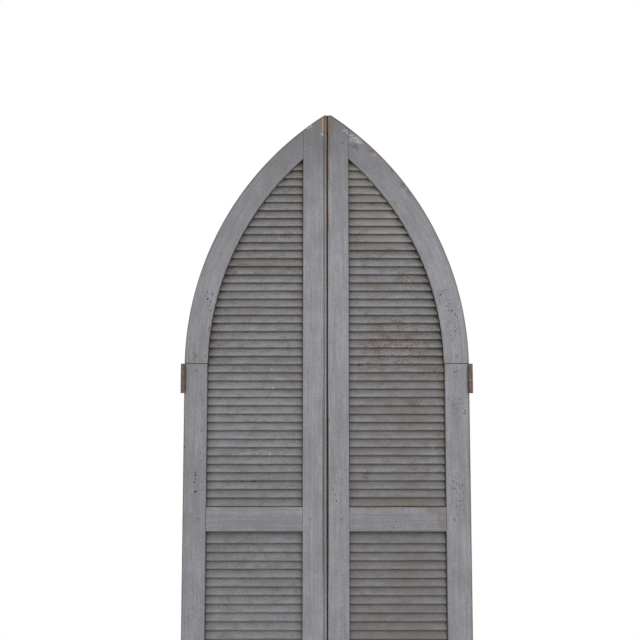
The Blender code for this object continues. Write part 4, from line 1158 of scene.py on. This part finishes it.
class DOORS_OT_hinges(bpy.types.Operator):
    """Lift-off butt hinges of rusted iron: door halves, jamb halves and the pins that stand in them"""

    bl_idname = "doors.hinges"
    bl_label = "Hinges"

    def half(self, context, leaf, name, face, inward, knuckle, bore, axis):
        """A plate with its knuckle, bored for the pin and countersunk for three screws. face is how far out
        the countersunk face lies, and inward the way from there into the plate."""
        hinge = context.scene.hinge_sizes
        iron = iron_finish(context)
        corner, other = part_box(name)
        low, high, back = corner.z, other.z, other.y
        outs = sorted((face, face + inward * hinge.plate_thickness))
        lean = abs(axis[0] - sum(outs) / 2) - hinge.plate_thickness / 2
        tab = axis[1] + math.sqrt((hinge.knuckle_radius - hinge.weld) ** 2 - lean**2)
        notch = axis[1] + math.sqrt((hinge.knuckle_radius + hinge.knuckle_play) ** 2 - lean**2)
        outline = [(back, low), (back, high), (tab, knuckle[1]), (tab, knuckle[0])]
        if knuckle[1] == high:
            outline += [(notch, knuckle[0]), (notch, low)]
        else:
            outline[2:2] = [(notch, high), (notch, knuckle[1])]
        points = [leaf.at(outs[0], y, z) for y, z in outline]
        half = drawn_piece(f"{name}_dressed", points, leaf.at(outs[1] - outs[0], 0, 0), iron)
        ease(half, lies_at(1, back), hinge.edge)
        ends = [leaf.at(*axis, z) for z in knuckle]
        barrel = round_piece("barrel", hinge.knuckle_radius, *ends, IRON_SIDES, iron)
        ease(barrel, lies_at(2, *knuckle), hinge.edge)
        carve(half, "UNION", barrel)
        ends = [leaf.at(*axis, z) for z in bore]
        carve(half, "DIFFERENCE", round_piece("bore", hinge.bore_radius, *ends, IRON_SIDES, iron))
        depth = hinge.plate_thickness + 2 * FIT
        radii = {"radius1": hinge.head_radius, "radius2": hinge.hole_radius, "depth": depth}
        turn = (0, inward * leaf.side * math.pi / 2, 0)
        for stagger, z in (
            (-hinge.screw_stagger, high - hinge.screw_inset),
            (hinge.screw_stagger, (low + high) / 2),
            (-hinge.screw_stagger, low + hinge.screw_inset),
        ):
            start_fresh()
            centre = leaf.at(face + inward * (depth / 2 - FIT), (FRONT + back) / 2 + stagger, z)
            bpy.ops.mesh.primitive_cone_add(vertices=IRON_SIDES, location=centre, rotation=turn, **radii)
            carve(half, "DIFFERENCE", settle("countersink", iron))
        soften(half)
        return half

    def execute(self, context):
        hinge = context.scene.hinge_sizes
        for leaf in LEAVES:
            for label in ("upper", "lower"):
                stem = f"{leaf.name}_{label}_hinge"
                low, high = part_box(f"{stem}_door_half")
                pin_low, pin_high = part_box(f"{stem}_pin")
                axis = (leaf.side * (pin_low.x + pin_high.x) / 2, (pin_low.y + pin_high.y) / 2)
                split = (low.z + high.z) / 2
                name, knuckle = f"{stem}_door_half", (split + FIT / 2, high.z)
                bore = split - BURIED, pin_high.z + FIT
                half = self.half(context, leaf, name, leaf.outer, -1, knuckle, bore, axis)
                present(half, leaf.body, "rusty_iron", name)
                name, knuckle = f"{stem}_jamb_half", (low.z, split - FIT / 2)
                bore = low.z - BURIED, split + BURIED
                half = self.half(context, leaf, name, 2 * axis[0] - leaf.outer, 1, knuckle, bore, axis)
                present(half, "jamb_hinges", "rusty_iron", name)
                name, radius = f"{stem}_pin", (pin_high.x - pin_low.x) / 2
                ends = [leaf.at(*axis, z) for z in (pin_low.z, pin_high.z)]
                pin = round_piece(f"{name}_dressed", radius, *ends, IRON_SIDES, iron_finish(context))
                ease(pin, lies_at(2, pin_high.z), hinge.pin_round, segments=4)
                soften(pin)
                present(pin, "jamb_hinges", "rusty_iron", name)
        return {"FINISHED"}


class DOORS_OT_carried_over(bpy.types.Operator):
    """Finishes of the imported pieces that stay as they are: hinge screws and the loose tenons"""

    bl_idname = "doors.carried_over"
    bl_label = "Screws and tenons"

    def execute(self, context):
        iron, pine = iron_finish(context), shared(context, old_pine, "old_pine_unpainted")
        for name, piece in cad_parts.items():
            if not piece.hide_render:
                piece.data.materials.clear()
                piece.data.materials.append(pine if name.endswith("tenon") else iron)
        return {"FINISHED"}


# The camera's distance, height, tilt and lens were worked out from the photograph's perspective
CAMERA_PLACE = (-0.0208, FRONT - 2.764, 1.390)
CAMERA_TILT = math.radians(90 + 5.143)
CAMERA_LENS = 50.625
SENSOR = 36.0
FLOOR_SIZE = 5.0
# Place, width and power of each lamp, what they all aim at, and the strength of the light all round
LAMPS = {
    "key": ((2.2, -3.6, 3.2), 1.6, 46),
    "fill": ((-3.0, -3.2, 1.8), 2.5, 18),
    "rear": ((0.6, 3.6, 3.0), 2.5, 45),
}
LAMP_AIM = (0, 0, 1.3)
SOFT_LIGHT = 0.70


class DOORS_OT_stage(bpy.types.Operator):
    """Pale floor, white surroundings, soft light and the camera"""

    bl_idname = "doors.stage"
    bl_label = "Stage"

    def floor(self, colours):
        """Painted boards, nearly white and matt, with faint cloudy patches a third of a metre wide."""
        start_fresh()
        bpy.ops.mesh.primitive_plane_add(size=FLOOR_SIZE)
        material, add, place = blank_finish("painted_studio_floor")
        cloud = add("TexNoise", {"Vector": place, "Scale": 3.0})
        rough = add("MapRange", {0: cloud, 3: 0.6, 4: 0.8})
        show(add, colours.floor, [(cloud, colours.floor_grey)], rough, cloud, 0.0002)
        return settle("floor", material)

    def execute(self, context):
        scene = context.scene
        scene.view_settings.view_transform = "Standard"
        camera = bpy.data.objects.new("camera", bpy.data.cameras.new("camera"))
        camera.location, camera.rotation_euler = CAMERA_PLACE, (CAMERA_TILT, 0, 0)
        camera.data.lens, camera.data.sensor_width = CAMERA_LENS, SENSOR
        scene.collection.objects.link(camera)
        scene.camera = camera
        floor = self.floor(scene.door_colours)
        # White to the eye and in reflections, and softer as light
        scene.world = bpy.data.worlds.new("white_surroundings")
        scene.world.use_nodes = True
        scene.world.node_tree.nodes.clear()
        add = partial(node, scene.world.node_tree)
        rays = add("LightPath", out=None)
        seen = add("Math", (rays["Is Camera Ray"], rays["Is Glossy Ray"]), operation="MAXIMUM")
        seen = add("Math", (seen, rays["Is Transmission Ray"]), operation="MAXIMUM")
        light = add("Background", {"Color": (1, 1, 1, 1), "Strength": SOFT_LIGHT})
        white = add("Background", {"Color": (1, 1, 1, 1), "Strength": 1.0})
        add("OutputWorld", {"Surface": add("MixShader", (seen, light, white))}, out=None)
        for name, (place, size, power) in LAMPS.items():
            data = bpy.data.lights.new(name, "AREA")
            data.energy, data.size = power, size
            lamp = bpy.data.objects.new(name, data)
            lamp.location = place
            lamp.rotation_euler = (Vector(LAMP_AIM) - Vector(place)).to_track_quat("-Z", "Y").to_euler()
            scene.collection.objects.link(lamp)
        return {"FINISHED"}


OPERATORS = (
    DOORS_OT_stage,
    DOORS_OT_hinge_stiles,
    DOORS_OT_arched_stiles,
    DOORS_OT_meeting_stiles,
    DOORS_OT_rails,
    DOORS_OT_slats,
    DOORS_OT_pegs,
    DOORS_OT_hinges,
    DOORS_OT_carried_over,
)


class DOORS_PT_panel(bpy.types.Panel):
    """Lists the steps that make the doors, and the sizes and colours that they use"""

    bl_idname = "DOORS_PT_panel"
    bl_label = "Arched louvered doors"
    bl_space_type = "VIEW_3D"
    bl_region_type = "UI"
    bl_category = "Doors"

    def draw(self, context):
        for operator in OPERATORS:
            self.layout.operator(operator.bl_idname)
        for name in GROUPS:
            box, group = self.layout.box(), getattr(context.scene, name)
            for field in group.bl_rna.properties:
                if not field.is_readonly and field.identifier != "name":
                    box.prop(group, field.identifier)


def register():
    for kind in (*GROUPS.values(), *OPERATORS, DOORS_PT_panel):
        bpy.utils.register_class(kind)
    for name, kind in GROUPS.items():
        setattr(bpy.types.Scene, name, PointerProperty(type=kind))


def unregister():
    for name in GROUPS:
        delattr(bpy.types.Scene, name)
    for kind in (DOORS_PT_panel, *reversed(OPERATORS), *reversed(GROUPS.values())):
        bpy.utils.unregister_class(kind)


def main():
    register()
    for operator in OPERATORS:
        area, name = operator.bl_idname.split(".")
        getattr(getattr(bpy.ops, area), name)()
    start_fresh()


if __name__ == "__main__":
    main()
